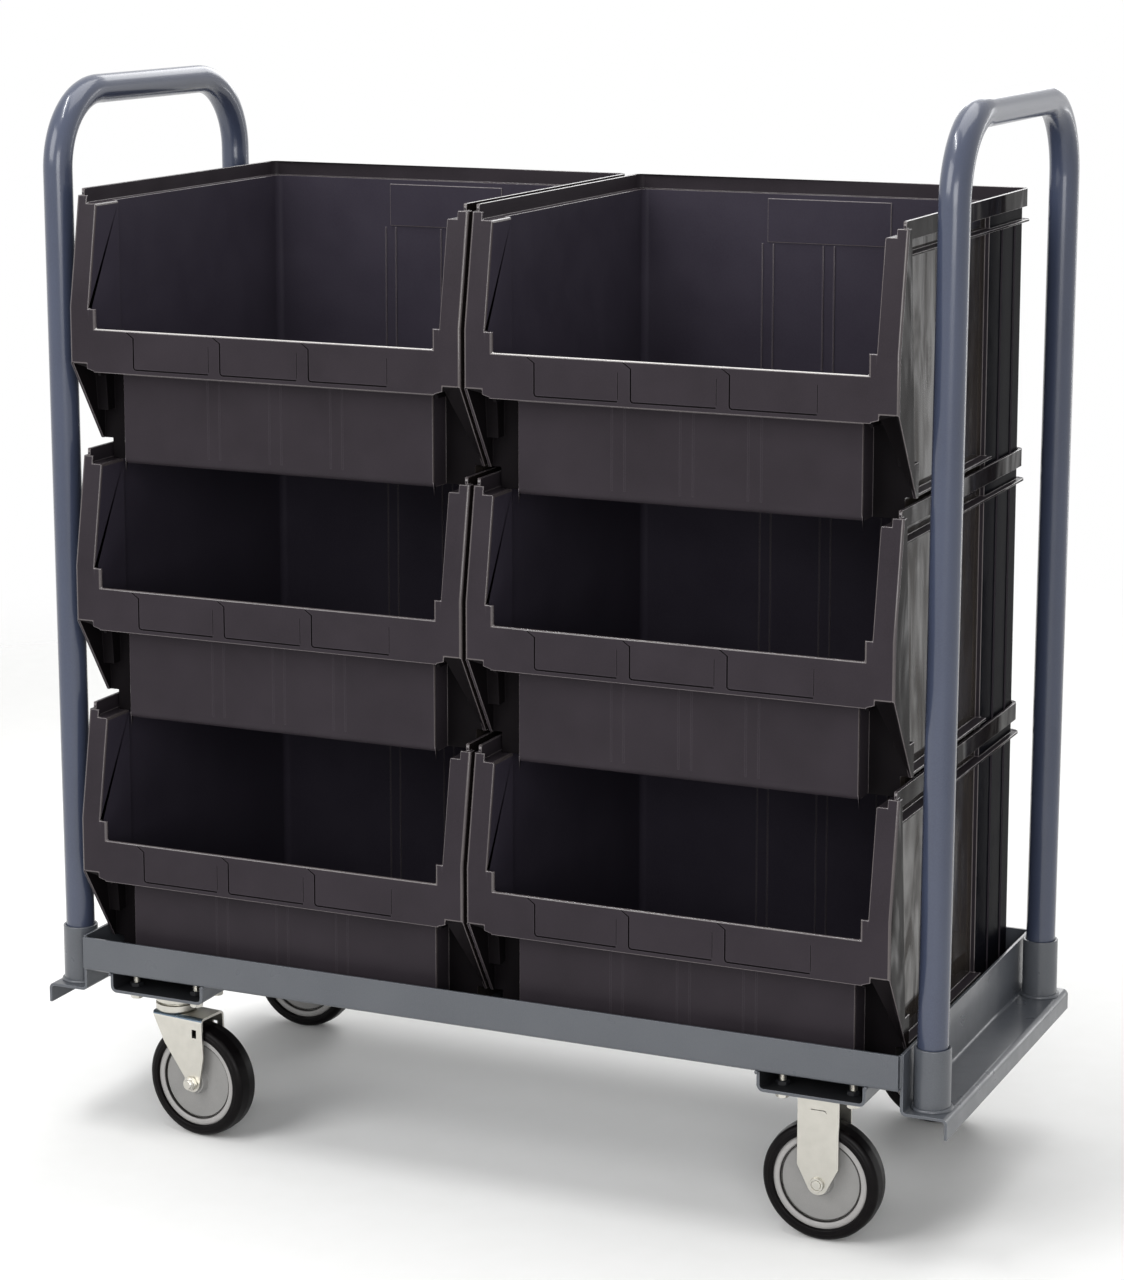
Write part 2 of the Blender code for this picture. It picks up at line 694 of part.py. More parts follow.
def bin_solids():
    """The blocks that a bin is made of, before it is hollowed."""
    rear = WING_BACK + OVERLAP
    wing_rear = WING_BACK + BIN_WALL
    fin_half = RIM_HALF_WIDTH + 0.002
    fin_front = STRIP_TOP_REAR + BITE
    skid_front = wing_rear - BITE
    skin_inner = WING_INNER + BITE
    tub = rear_rounded(TUB_HALF_WIDTH, WING_BACK, TUB_REAR, TUB_CORNER)
    corners = rear_rounded(CORNER_HALF_WIDTH, CORNER_START, CORNER_REAR, TUB_CORNER)
    rim = rear_rounded(RIM_HALF_WIDTH, RIM_FRONT, RIM_REAR, RIM_CORNER)
    fin = rear_rounded(fin_half, fin_front, RIM_REAR + 0.002, RIM_CORNER)
    skid_rear = CORNER_START + 0.004
    skid = [(-fin_half, skid_front), (fin_half, skid_front), (fin_half, skid_rear), (-fin_half, skid_rear)]
    nose = nose_outline(NOSE_FRONT, rear, 0.0, NOSE_TOP, NOSE_RADIUS)
    hopper = [
        (rear, HOPPER_FLOOR),
        (NOSE_FRONT, HOPPER_FLOOR),
        (BIN_FRONT, HOPPER_FLOOR_FRONT),
        (BIN_FRONT, LEAN_START),
        (lean_at(TAB_TOP), TAB_TOP),
        (rear, TAB_TOP),
    ]
    wing = [
        (wing_rear, WING_TIP),
        (WING_BACK - WING_TOE, WING_TIP),
        (BIN_FRONT, WING_CORNER),
        (BIN_FRONT, LEAN_START),
        (lean_at(TAB_TOP), TAB_TOP),
        (STRIP_TOP_REAR, TAB_TOP),
        (STRIP_FOOT_REAR, FOOT_TOP),
        (wing_rear, FOOT_TOP),
    ]
    skin_bottom = FOOT_TOP - BITE
    skin_top = LEDGE_HEIGHT - 1.5 * BITE
    skin = [
        (rear, skin_bottom),
        (STRIP_FOOT_REAR - BITE, skin_bottom),
        (STRIP_TOP_REAR - BITE, skin_top),
        (rear, skin_top),
    ]
    blocks = [
        prism(corners, "Z", 0.0, LEDGE_HEIGHT - 2 * BITE),
        prism(nose, "X", -NOSE_HALF_WIDTH, NOSE_HALF_WIDTH),
        prism(hopper, "X", -POCKET_INNER, POCKET_INNER),
        prism(wing, "X", WING_INNER, BIN_HALF_WIDTH),
        prism(wing, "X", -BIN_HALF_WIDTH, -WING_INNER),
        prism(skin, "X", skin_inner, TUB_HALF_WIDTH),
        prism(skin, "X", -TUB_HALF_WIDTH, -skin_inner),
        prism(rim, "Z", LEDGE_HEIGHT - BIN_WALL, BIN_HEIGHT),
        prism(fin, "Z", FIN_HEIGHT, FIN_HEIGHT + FIN_THICKNESS),
        prism(skid, "Z", WING_TIP + 0.0005, WING_TIP + 0.0035),
    ]
    return prism(tub, "Z", 0.0, LEDGE_HEIGHT - BITE), blocks


def bin_hollows():
    """The cutters that leave a bin as one thin wall."""
    over = BIN_HEIGHT + 0.05
    under = -0.02
    rear = WING_BACK + 1.5 * OVERLAP
    inner = TUB_HALF_WIDTH - BIN_WALL
    tub_rear = TUB_REAR - BIN_WALL
    cavity = rear_rounded(inner, WING_BACK + BIN_WALL, tub_rear, TUB_CORNER - 0.002)
    rim_inner = RIM_HALF_WIDTH - BIN_WALL
    rim_rear = RIM_REAR - BIN_WALL
    rim = rear_rounded(rim_inner, RIM_INNER_FRONT, rim_rear, RIM_CORNER - 0.003)
    nose_front = NOSE_FRONT + BIN_WALL
    nose = nose_outline(nose_front, rear, BIN_WALL, NOSE_TOP + OVERLAP, NOSE_RADIUS - 0.003)
    nose_reach = NOSE_HALF_WIDTH - BIN_WALL
    mouth = [
        (rear, HOPPER_FLOOR + BIN_WALL),
        (NOSE_FRONT + 0.002, HOPPER_FLOOR + BIN_WALL),
        (BIN_FRONT + BIN_WALL, HOPPER_FLOOR_FRONT + BIN_WALL),
        (BIN_FRONT + BIN_WALL, LIP_HEIGHT),
        (WELL_FORWARD, LIP_HEIGHT),
        (WELL_FORWARD, LEAN_START),
        (rear, LEAN_START),
    ]
    pocket_top = LEDGE_HEIGHT - BIN_WALL
    pocket = [
        (WING_BACK, under),
        (WELL_FORWARD, under),
        (WELL_FORWARD, CHIN_HEIGHT),
        (BIN_FRONT + BIN_WALL, CHIN_HEIGHT),
        (BIN_FRONT + BIN_WALL, LEAN_START),
        (lean_at(pocket_top) + BIN_WALL, pocket_top),
        (STRIP_TOP_REAR - BIN_WALL, pocket_top),
        (STRIP_FOOT_REAR - BIN_WALL, FOOT_TOP - BIN_WALL),
        (WING_BACK, FOOT_TOP - BIN_WALL),
    ]
    pocket_outer = BIN_HALF_WIDTH - BIN_WALL
    low_inner = NOSE_HALF_WIDTH + 0.004
    upper_mouth = MOUTH_TOP_HALF_WIDTH
    chin_rear = NOSE_FRONT - BITE
    cuts = [
        prism(cavity, "Z", BIN_WALL, over),
        prism(nose, "X", -nose_reach, nose_reach),
        prism(mouth, "X", -MOUTH_HALF_WIDTH, MOUTH_HALF_WIDTH),
        box(-upper_mouth, upper_mouth, WELL_FORWARD, rear, LEAN_START - BITE, over),
        box(-upper_mouth, upper_mouth, BIN_FRONT + BIN_WALL, rear, WELL_SIDE_FLOOR, LEAN_START),
        prism(rim, "Z", LEDGE_HEIGHT, over),
        box(-TAB_INNER, TAB_INNER, WELL_FORWARD, rear, LEDGE_HEIGHT, over),
    ]
    for side in (-1, 1):
        low, high = sorted((side * POCKET_INNER, side * pocket_outer))
        cuts.append(prism(pocket, "X", low, high))
        low, high = sorted((side * low_inner, side * inner))
        cuts.append(box(low, high, WELL_FORWARD, WING_BACK, under, HOPPER_FLOOR))
        chin = [
            (side * CHIN_START, under),
            (side * pocket_outer, under),
            (side * pocket_outer, CHIN_END_HEIGHT),
            (side * CHIN_START, CHIN_START_HEIGHT),
        ]
        cuts.append(prism(chin, "Y", WELL_FORWARD, chin_rear))
    return cuts


def label_grooves():
    """Three shallow L-shaped lines on the lip that frame the label places."""
    grooves = []
    ahead = BIN_FRONT - 0.01
    depth = BIN_FRONT + GROOVE_DEPTH
    for left in LABEL_LEFTS:
        foot_top = LABEL_BOTTOM + GROOVE_WIDTH
        grooves.append(box(left, left + GROOVE_WIDTH, ahead, depth, foot_top - 0.0002, LABEL_TOP))
        grooves.append(box(left, left + LABEL_WIDTH, ahead, depth, LABEL_BOTTOM, foot_top))
    return grooves


def bin_mesh():
    """One stacking bin with its base on Z = 0 and its width centred on X = 0."""
    tub, blocks = bin_solids()
    solid = combine(tub, joins=blocks)
    hollow = combine(solid, cuts=bin_hollows())
    return combine(hollow, cuts=label_grooves())


def build_bins(deck_top):
    """Two columns of three bins, each column stacked on the deck."""
    mesh = bin_mesh()
    for name, side in COLUMNS:
        for level, tier in enumerate(TIERS):
            place = (side * COLUMN_PITCH / 2, 0.0, deck_top + GAP + level * TIER_PITCH)
            add_object(f"{name}_{tier}_bin", mesh.copy(), "bin", place=place)


def centre_cart():
    """Bring the middle of the cart's depth over the origin."""
    for item in bpy.data.objects:
        if item.parent is None:
            item.location.y += CENTRE_SHIFT


def main():
    """Build the whole cart."""
    clear_scene()
    build_rails()
    build_ends()
    deck_top = build_deck()
    build_channels()
    build_sockets()
    build_handles()
    build_casters()
    build_bolts()
    build_bins(deck_top)
    centre_cart()


main()
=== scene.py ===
"""Looks of a mobile bin cart: welded steel base, two tube handles, four casters and six moulded bins.

Metres, +Z up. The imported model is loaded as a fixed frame, and each piece made here sits on it, stands
for its solid and moves with its body.
"""

import logging
import math
from collections.abc import Callable, Sequence
from dataclasses import dataclass
from enum import Enum, IntEnum

import bmesh
import bpy
from bmesh.types import BMesh, BMVert
from bpy.types import ID, Material, Mesh, MeshPolygon, Node, NodeSocket, NodeTree, Object
from mathutils import Matrix, Vector


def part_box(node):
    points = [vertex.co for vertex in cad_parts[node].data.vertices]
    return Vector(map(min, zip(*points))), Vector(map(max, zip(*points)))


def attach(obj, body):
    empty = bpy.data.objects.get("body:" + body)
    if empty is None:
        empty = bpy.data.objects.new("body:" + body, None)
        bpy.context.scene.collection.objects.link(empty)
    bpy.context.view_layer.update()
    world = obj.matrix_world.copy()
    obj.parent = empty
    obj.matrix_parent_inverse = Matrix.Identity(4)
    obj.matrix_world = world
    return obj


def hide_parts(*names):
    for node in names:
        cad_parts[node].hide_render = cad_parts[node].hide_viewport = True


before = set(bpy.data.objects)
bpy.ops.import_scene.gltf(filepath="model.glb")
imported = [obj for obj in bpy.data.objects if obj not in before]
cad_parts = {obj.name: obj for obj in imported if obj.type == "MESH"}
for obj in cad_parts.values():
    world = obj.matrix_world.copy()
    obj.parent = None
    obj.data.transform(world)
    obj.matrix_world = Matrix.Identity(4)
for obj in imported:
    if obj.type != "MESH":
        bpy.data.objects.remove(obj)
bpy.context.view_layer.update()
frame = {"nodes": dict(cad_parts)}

log = logging.getLogger("bin_cart")

Point = tuple[float, float]
Outline = list[Point]

MM = 0.001
# Corners closer than this are one corner
TINY = 1e-5
# Two measures closer than this are the same measure
NEAR = 0.2 * MM
# Edges flatter than this, in degrees, are not rounded
FLAT_EDGE = 28.0
# How many straight pieces a bend or a round corner has
BEND_STEPS = 8
# The sheet of the caster channels, which the bolts go through
CHANNEL_SHEET = 3.5 * MM
# The radius of the bolts' holes, in the channels and in the casters' plates alike
BOLT_HOLE = 4.7 * MM


class Axis(Enum):
    """The direction that an outline is pushed along or turned round."""

    X = "X"
    Y = "Y"
    Z = "Z"


class Tooling(Enum):
    """How the mould's steel was finished, which the plastic copies."""

    GRAINED = "spark grained"
    POLISHED = "polished"
    RUBBED = "grain that handling has rubbed smooth"


class BinFinish(IntEnum):
    """The material numbers of a bin's faces."""

    GRAINED = 0
    POLISHED = 1
    RUBBED = 2
    DRAGGED = 3
    DUSTY = 4
    INSIDE = 5
    PALE = 6
    CORNER = 7


class Place(Enum):
    """A place on the cart, whose value is the sign of one axis there."""

    @property
    def label(self) -> str:
        """The word that the frame's names use."""
        return self.name.lower()


class Side(Place):
    """The two ends of the cart, with the sign of X."""

    LEFT = -1
    RIGHT = 1


class End(Place):
    """Front and rear, with the sign of Y."""

    FRONT = -1
    REAR = 1


def linear(hex_colour: str) -> tuple[float, float, float, float]:
    """Turn an sRGB hex colour into the linear values that Blender mixes.

    Args:
        hex_colour: Six hex digits, with or without a leading hash.

    Returns:
        Red, green, blue and alpha.
    """
    digits = hex_colour.lstrip("#")
    channels = []
    for start in (0, 2, 4):
        value = int(digits[start : start + 2], 16) / 255
        channels.append(value / 12.92 if value <= 0.04045 else ((value + 0.055) / 1.055) ** 2.4)
    return (*channels, 1.0)


def per_metre(size_mm: float) -> float:
    """The pattern scale that gives features of a real size in millimetres."""
    return 1.0 / (size_mm * MM)


def add_node(tree: NodeTree, kind: str, settings: dict | None = None, links: dict | None = None) -> Node:
    """Add one node with its settings and links.

    Args:
        tree: The node tree it goes into.
        kind: Blender's type name of the node.
        settings: Values by property name, or else by input name or number.
        links: Output sockets by the name or number of the input they feed.

    Returns:
        The new node.
    """
    node = tree.nodes.new(kind)
    for key, value in (settings or {}).items():
        if isinstance(key, str) and hasattr(node, key):
            setattr(node, key, value)
        else:
            node.inputs[key].default_value = value
    for key, socket in (links or {}).items():
        tree.links.new(socket, node.inputs[key])
    return node


def ramp(
    tree: NodeTree, source: NodeSocket, start: Point, stop: Point = (0.0, 1.0), soft: bool = False
) -> NodeSocket:
    """Turn one range of values into another, and hold them there beyond its ends.

    Args:
        tree: The material's node tree.
        source: The values.
        start: The two ends of the first range, in either order.
        stop: What they become.
        soft: Whether the result eases in and out.

    Returns:
        The socket that carries the result.
    """
    settings = {"From Min": start[0], "From Max": start[1], "To Min": stop[0], "To Max": stop[1]}
    if soft:
        settings["interpolation_type"] = "SMOOTHSTEP"
    return add_node(tree, "ShaderNodeMapRange", settings, {"Value": source}).outputs["Result"]


def worn_edges(tree: NodeTree, radius_mm: float) -> NodeSocket:
    """How near a point lies to an edge, 0 on the flats and 1 on the edge itself.

    Args:
        tree: The material's node tree.
        radius_mm: How far from the edge the wear reaches.

    Returns:
        The socket that carries the mask.
    """
    soft = add_node(tree, "ShaderNodeBevel", {"samples": 4, "Radius": radius_mm * MM})
    surface = add_node(tree, "ShaderNodeNewGeometry")
    links = {0: soft.outputs[0], 1: surface.outputs["Normal"]}
    match = add_node(tree, "ShaderNodeVectorMath", {"operation": "DOT_PRODUCT"}, links)
    return ramp(tree, match.outputs["Value"], (0.995, 0.88))


def pattern(
    tree: NodeTree,
    size_mm: float,
    detail: float = 2.0,
    stretch: Sequence[float] = (1, 1, 1),
    swirl: float = 0.0,
) -> NodeSocket:
    """A cloudy pattern that stays on the piece, from 0 to 1 with its middle at a half.

    Args:
        tree: The material's node tree.
        size_mm: The size of its features.
        detail: How many finer layers lie over the first.
        stretch: Factors on X, Y and Z; below 1 draws the features out along that axis.
        swirl: How far the features are drawn round each other.

    Returns:
        The socket that carries the pattern.
    """
    place = add_node(tree, "ShaderNodeTexCoord")
    links = {"Vector": place.outputs["Object"]}
    sized = add_node(tree, "ShaderNodeMapping", {"Scale": tuple(stretch)}, links)
    settings = {"Scale": per_metre(size_mm), "Detail": detail, "Roughness": 0.55, "Distortion": swirl}
    return add_node(tree, "ShaderNodeTexNoise", settings, {"Vector": sized.outputs["Vector"]}).outputs[0]


def remap(tree: NodeTree, source: NodeSocket, low: float, high: float) -> NodeSocket:
    """Spread a pattern's middle range, from 0.3 to 0.7, over low to high."""
    return ramp(tree, source, (0.3, 0.7), (low, high))


def tinted(tree: NodeTree, share: NodeSocket, base: NodeSocket | str, other: str) -> NodeSocket:
    """Blend from one colour to another.

    Args:
        tree: The material's node tree.
        share: How much of the other colour shows.
        base: The first colour, as a socket or a hex value.
        other: The second colour's hex value.

    Returns:
        The socket that carries the blend.
    """
    settings = {"data_type": "RGBA", 7: linear(other)}
    links = {0: share}
    if isinstance(base, str):
        settings[6] = linear(base)
    else:
        links[6] = base
    return add_node(tree, "ShaderNodeMix", settings, links).outputs[2]


def bumped(
    tree: NodeTree, height: NodeSocket, depth_mm: float, under: NodeSocket | None = None
) -> NodeSocket:
    """Relief of a real depth from a pattern.

    Args:
        tree: The material's node tree.
        height: The pattern that gives the relief.
        depth_mm: Its depth from lowest to highest.
        under: A relief that this one lies on.

    Returns:
        The socket that carries the bent normals.
    """
    links = {"Height": height}
    if under is not None:
        links["Normal"] = under
    settings = {"Distance": depth_mm * MM, "Strength": 1.0}
    return add_node(tree, "ShaderNodeBump", settings, links).outputs["Normal"]


@dataclass(frozen=True)
class Finish:
    """What every finish has: a name, a colour, and the colour that its clouds turn to."""

    name: str
    colour: str
    cloud: str

    def settings(self) -> dict:
        """Values of the shader that are the same all over."""
        return {"Metallic": 0.0}

    def sockets(self, tree: NodeTree) -> dict:
        """The sockets that feed the shader.

        Args:
            tree: The material's node tree.

        Returns:
            Sockets by input name.
        """
        raise NotImplementedError

    def make(self) -> Material:
        """Make a material with one Principled shader.

        Returns:
            The finished material.
        """
        material = bpy.data.materials.new(self.name)
        material.use_nodes = True
        tree = material.node_tree
        shader = tree.nodes["Principled BSDF"]
        for key, value in self.settings().items():
            shader.inputs[key].default_value = value
        for key, socket in self.sockets(tree).items():
            tree.links.new(socket, shader.inputs[key])
        return material


@dataclass(frozen=True)
class PowderCoatedSteel(Finish):
    """Polyester powder baked on steel: an even, half-gloss skin with a fine orange peel."""

    edge: str
    roughness: float
    coat: float
    # Orange peel on such a coat runs from 1 to 3 mm between its crests
    peel_mm: float = 2.2
    peel_depth_mm: float = 0.035
    # The powder's flecks are under 0.1 mm and too fine to show, so they are drawn at 1.2 mm
    fleck_mm: float = 1.2
    cloud_mm: float = 90.0
    gloss_swing: float = 0.05

    def settings(self) -> dict:
        """A clear top layer over the powder's own gloss."""
        return {"Metallic": 0.0, "Specular IOR Level": 0.4, "Coat Weight": self.coat, "Coat Roughness": 0.1}

    def sockets(self, tree: NodeTree) -> dict:
        """Flecks and clouds in the colour, worn edges and the peel.

        Args:
            tree: The material's node tree.

        Returns:
            Sockets by input name.
        """
        fleck = remap(tree, pattern(tree, self.fleck_mm), 0.0, 0.55)
        cloud = remap(tree, pattern(tree, self.cloud_mm), 0.0, 0.5)
        mottled = tinted(tree, cloud, self.colour, self.cloud)
        flecked = tinted(tree, fleck, mottled, self.cloud)
        colour = tinted(tree, worn_edges(tree, 0.8), flecked, self.edge)
        lowest = self.roughness - self.gloss_swing
        rough = remap(tree, pattern(tree, self.cloud_mm / 3), lowest, self.roughness + self.gloss_swing)
        peel = bumped(tree, pattern(tree, self.peel_mm, 1.0), self.peel_depth_mm)
        return {"Base Color": colour, "Roughness": rough, "Normal": peel}


@dataclass(frozen=True)
class MouldedPolypropylene(Finish):
    """Carbon-black polypropylene as it leaves the mould: dark, slightly warm, with a waxy sheen."""

    edge: str
    roughness: float
    # A filled, waxy skin mirrors less than clear plastic does, for which this is 0.5
    mirror: float
    tooling: Tooling
    # How much of a polished wall shines: the pattern values where the gloss starts and where it is full
    gloss: Point = (0.35, 0.75)
    # Spark grain is 0.3 mm and too fine to show, so it is drawn at 1.3 mm
    grain_mm: float = 1.3
    flow_mm: float = 70.0
    wave_mm: float = 55.0
    wave_depth_mm: float = 2.6

    def settings(self) -> dict:
        """The plastic's own mirror, and on a polished wall the thin skin whose weight swirls.

        Returns:
            Values by input name.
        """
        values = {"Metallic": 0.0, "IOR": 1.49, "Specular IOR Level": self.mirror}
        if self.tooling is Tooling.POLISHED:
            values |= {"Coat IOR": 1.3, "Coat Roughness": 0.05}
        return values

    def sockets(self, tree: NodeTree) -> dict:
        """Flow lines and grain in the colour, rubbed edges, and relief as the mould left it.

        Args:
            tree: The material's node tree.

        Returns:
            Sockets by input name.
        """
        # On polished walls the flow streaks, drawn out upright, also stand for reflections: a painted
        # reflection in part
        stretch = (1, 1, 0.35) if self.tooling is Tooling.POLISHED else (1, 1, 1)
        flow = remap(tree, pattern(tree, self.flow_mm, 3.0, stretch), 0.0, 0.6)
        grain = pattern(tree, self.grain_mm)
        streaked = tinted(tree, flow, self.colour, self.cloud)
        speckled = tinted(tree, remap(tree, grain, 0.0, 0.5), streaked, self.cloud)
        colour = tinted(tree, worn_edges(tree, 1.2), speckled, self.edge)
        rough = remap(tree, pattern(tree, self.flow_mm / 2), self.roughness - 0.05, self.roughness + 0.05)
        sockets = {"Base Color": colour, "Roughness": rough}
        if self.tooling is Tooling.GRAINED:
            sockets["Normal"] = bumped(tree, grain, 0.05)
        elif self.tooling is Tooling.RUBBED:
            sockets["Normal"] = bumped(tree, grain, 0.01)
        else:
            # Thin walls cool into shallow waves, which bend what the gloss mirrors
            waves = bumped(tree, pattern(tree, self.wave_mm, 1.0, (1, 1, 0.45)), self.wave_depth_mm)
            sockets["Normal"] = bumped(tree, grain, 0.006, waves)
            # Where the melt folded round the ribs the gloss swirls, which shows at a flat angle
            folds = pattern(tree, self.wave_mm, 2.0, (1, 1, 0.3), 1.6)
            sockets["Coat Weight"] = ramp(tree, folds, self.gloss, soft=True)
        return sockets


@dataclass(frozen=True)
class ZincPlatedSteel(Finish):
    """Pressed steel with bright zinc: silvery, a little cloudy, with faint rolling lines."""

    roughness: float
    cloud_mm: float = 14.0
    # Rolling lines are 0.1 mm apart and too fine to show, so they are drawn at 0.6 mm
    line_mm: float = 0.6

    def settings(self) -> dict:
        """Bare metal."""
        return {"Metallic": 1.0}

    def sockets(self, tree: NodeTree) -> dict:
        """Clouds in the colour and the gloss, bright edges and rolling lines.

        Args:
            tree: The material's node tree.

        Returns:
            Sockets by input name.
        """
        clouds = remap(tree, pattern(tree, self.cloud_mm, 4.0), 0.0, 0.6)
        clouded = tinted(tree, clouds, self.colour, self.cloud)
        colour = tinted(tree, worn_edges(tree, 0.5), clouded, "f4f3ee")
        rough = remap(tree, pattern(tree, self.cloud_mm, 3.0), self.roughness - 0.04, self.roughness + 0.05)
        lines = bumped(tree, pattern(tree, self.line_mm, 2.0, (0.06, 1, 1)), 0.008)
        return {"Base Color": colour, "Roughness": rough, "Normal": lines}


@dataclass(frozen=True)
class MouldedNylon(Finish):
    """Grey glass-filled nylon: an even, slightly dry surface with a fine tooth."""

    roughness: float
    # The tooth is 0.2 mm and too fine to show, so it is drawn at 0.9 mm
    tooth_mm: float = 0.9

    def settings(self) -> dict:
        """The mirror of nylon."""
        return {"Metallic": 0.0, "IOR": 1.53}

    def sockets(self, tree: NodeTree) -> dict:
        """Mottled and speckled colour, pale edges and the tooth.

        Args:
            tree: The material's node tree.

        Returns:
            Sockets by input name.
        """
        tooth = pattern(tree, self.tooth_mm)
        cloud = remap(tree, pattern(tree, 22.0, 3.0), 0.0, 0.5)
        mottled = tinted(tree, cloud, self.colour, self.cloud)
        speckled = tinted(tree, remap(tree, tooth, 0.0, 0.6), mottled, self.cloud)
        colour = tinted(tree, worn_edges(tree, 0.4), speckled, "c9c5c0")
        rough = remap(tree, cloud, self.roughness - 0.05, self.roughness + 0.05)
        return {"Base Color": colour, "Roughness": rough, "Normal": bumped(tree, tooth, 0.03)}


@dataclass(frozen=True)
class MouldedRubber(Finish):
    """Black thermoplastic rubber: satin, its clouds the dust in its grain where it has rolled."""

    roughness: float
    # The moulded grain is 0.4 mm and too fine to show, so it is drawn at 1.0 mm
    grain_mm: float = 1.0

    def settings(self) -> dict:
        """Rubber mirrors little."""
        return {"Metallic": 0.0, "Specular IOR Level": 0.1}

    def sockets(self, tree: NodeTree) -> dict:
        """Dusty patches and edges, and the grain.

        Args:
            tree: The material's node tree.

        Returns:
            Sockets by input name.
        """
        grain = pattern(tree, self.grain_mm)
        dusty = remap(tree, pattern(tree, 9.0, 4.0), -0.2, 0.35)
        dusted = tinted(tree, dusty, self.colour, self.cloud)
        colour = tinted(tree, worn_edges(tree, 0.8), dusted, self.cloud)
        rough = remap(tree, pattern(tree, 12.0), self.roughness - 0.08, self.roughness + 0.08)
        return {"Base Color": colour, "Roughness": rough, "Normal": bumped(tree, grain, 0.05)}


@dataclass(frozen=True)
class StudioFloor(Finish):
    """A pale painted floor whose rim fades into the white beyond it."""

    name: str = "matt white studio floor"
    colour: str = "fbfbfa"
    cloud: str = "f6f6f4"
    solid_radius: float = 1.5
    faded_radius: float = 3.2

    def settings(self) -> dict:
        """Matt paint."""
        return {"Roughness": 0.9, "Specular IOR Level": 0.1}

    def make(self) -> Material:
        """Make the material and let its rim be seen through.

        Returns:
            The finished material.
        """
        material = super().make()
        material.surface_render_method = "BLENDED"
        return material

    def sockets(self, tree: NodeTree) -> dict:
        """Faint scuffs, and the fade towards the rim.

        Args:
            tree: The material's node tree.

        Returns:
            Sockets by input name.
        """
        scuffs = remap(tree, pattern(tree, 40.0, 3.0), 0.0, 0.3)
        colour = tinted(tree, scuffs, self.colour, self.cloud)
        place = add_node(tree, "ShaderNodeTexCoord")
        links = {0: place.outputs["Object"]}
        away = add_node(tree, "ShaderNodeVectorMath", {"operation": "LENGTH"}, links)
        rim = (self.solid_radius, self.faded_radius)
        fade = ramp(tree, away.outputs["Value"], rim, (1.0, 0.0), soft=True)
        return {"Base Color": colour, "Alpha": fade}


@dataclass(frozen=True)
class Palette:
    """Every finish of the cart, made once."""

    frame: Material
    frame_hollow: Material
    handle: Material
    bins: dict[BinFinish, Material]
    zinc: Material
    zinc_bend: Material
    hub: Material
    hub_groove: Material
    hub_ring: Material
    tyre: Material


def mould_finishes() -> dict[BinFinish, Material]:
    """Make the finishes of a bin's faces.

    Returns:
        The materials, in the order of their numbers.
    """
    grained = Tooling.GRAINED
    polished = Tooling.POLISHED
    rubbed = Tooling.RUBBED
    # What each finish is called, its colour, clouds and edges, its roughness and mirror, and its tooling
    plastics = {
        BinFinish.GRAINED: ("grained", "2b272b", "363136", "433e43", 0.40, 0.06, grained),
        # The wings' outer sides, where the mould's polish shows whole, their warm flow streaks partly a
        # painted reflection
        BinFinish.POLISHED: ("polished", "151213", "221e1d", "4f4844", 0.10, 0.02, polished, (0.48, 0.88)),
        # Hands and other bins rub the grain off every edge, and each edge is drawn by a thin bright line,
        # its pale colour a painted highlight
        BinFinish.RUBBED: ("rubbed edge", "453f43", "57514f", "7e787a", 0.16, 0.5, rubbed),
        # The lip's rounded edge is painted pale, a painted highlight that is the brightest line on a bin
        BinFinish.DRAGGED: ("dragged lip", "a9a5a4", "cfccc8", "dedbd7", 0.2, 0.5, rubbed),
        # The grooves and recesses are painted near-black as shade, with little shine
        BinFinish.DUSTY: ("dusty hollow", "0c0a0c", "131012", "1c191b", 0.6, 0.05, grained),
        # The inside is drawn a little paler and bluer than the outside, painted light that lifts its shade
        BinFinish.INSIDE: ("scratched inside", "332f39", "3e3a44", "494550", 0.45, 0.06, grained),
        # The sunk side panels are painted warm grey with flow lines, a painted reflection of the bright
        # studio
        BinFinish.PALE: ("sunk panel", "2a2624", "3b3632", "5f5850", 0.10, 0.03, polished, (0.32, 0.7)),
        # The rear corner blocks are drawn the darkest and the smoothest, nearly black with almost no mirror
        BinFinish.CORNER: ("corner block", "0b0b0e", "121218", "2b2a33", 0.2, 0.005, rubbed),
    }
    materials = {}
    for number in BinFinish:
        kind, *values = plastics[number]
        materials[number] = MouldedPolypropylene(f"moulded polypropylene, {kind}", *values).make()
    return materials


def mix_palette() -> Palette:
    """Make every finish of the cart.

    Returns:
        The finishes.
    """
    slate = PowderCoatedSteel("powder-coated steel, slate", "4a4d53", "575a5f", "7c7f85", 0.32, 0.25)
    # The channel's inside is painted near-black: painted shade where little light reaches into it
    hollow = PowderCoatedSteel(
        "thinly coated steel, in a hollow", "0d0e11", "15161a", "202127", 0.6, 0.0
    )
    # The tube is coated hanging free, so its gloss is even and its edges are whole
    tube = PowderCoatedSteel(
        "powder-coated steel tube", "383e50", "41485c", "464d62", 0.26, 0.4,
        peel_depth_mm=0.0, gloss_swing=0.01,
    )
    return Palette(
        frame=slate.make(),
        frame_hollow=hollow.make(),
        handle=tube.make(),
        bins=mould_finishes(),
        zinc=ZincPlatedSteel("zinc-plated steel", "cbc8c0", "bcbab2", 0.34).make(),
        # The bends are painted bluish and dark, a painted reflection of dark surroundings, which draws a
        # line round each pressing
        zinc_bend=ZincPlatedSteel("zinc-plated steel, on a bend", "62707d", "4a5663", 0.3).make(),
        hub=MouldedNylon("moulded nylon, grey", "7b7a79", "8b8a88", 0.5).make(),
        # The groove is painted near-black: painted shade in the crease
        hub_groove=MouldedNylon("moulded nylon, grimy groove", "1b1a19", "2a2826", 0.6).make(),
        # The hub's rim is drawn a little paler than its disc
        hub_ring=MouldedNylon("moulded nylon, rim", "918f8e", "a19f9d", 0.42).make(),
        tyre=MouldedRubber("moulded rubber, black", "070506", "141111", 0.38).make(),
    )


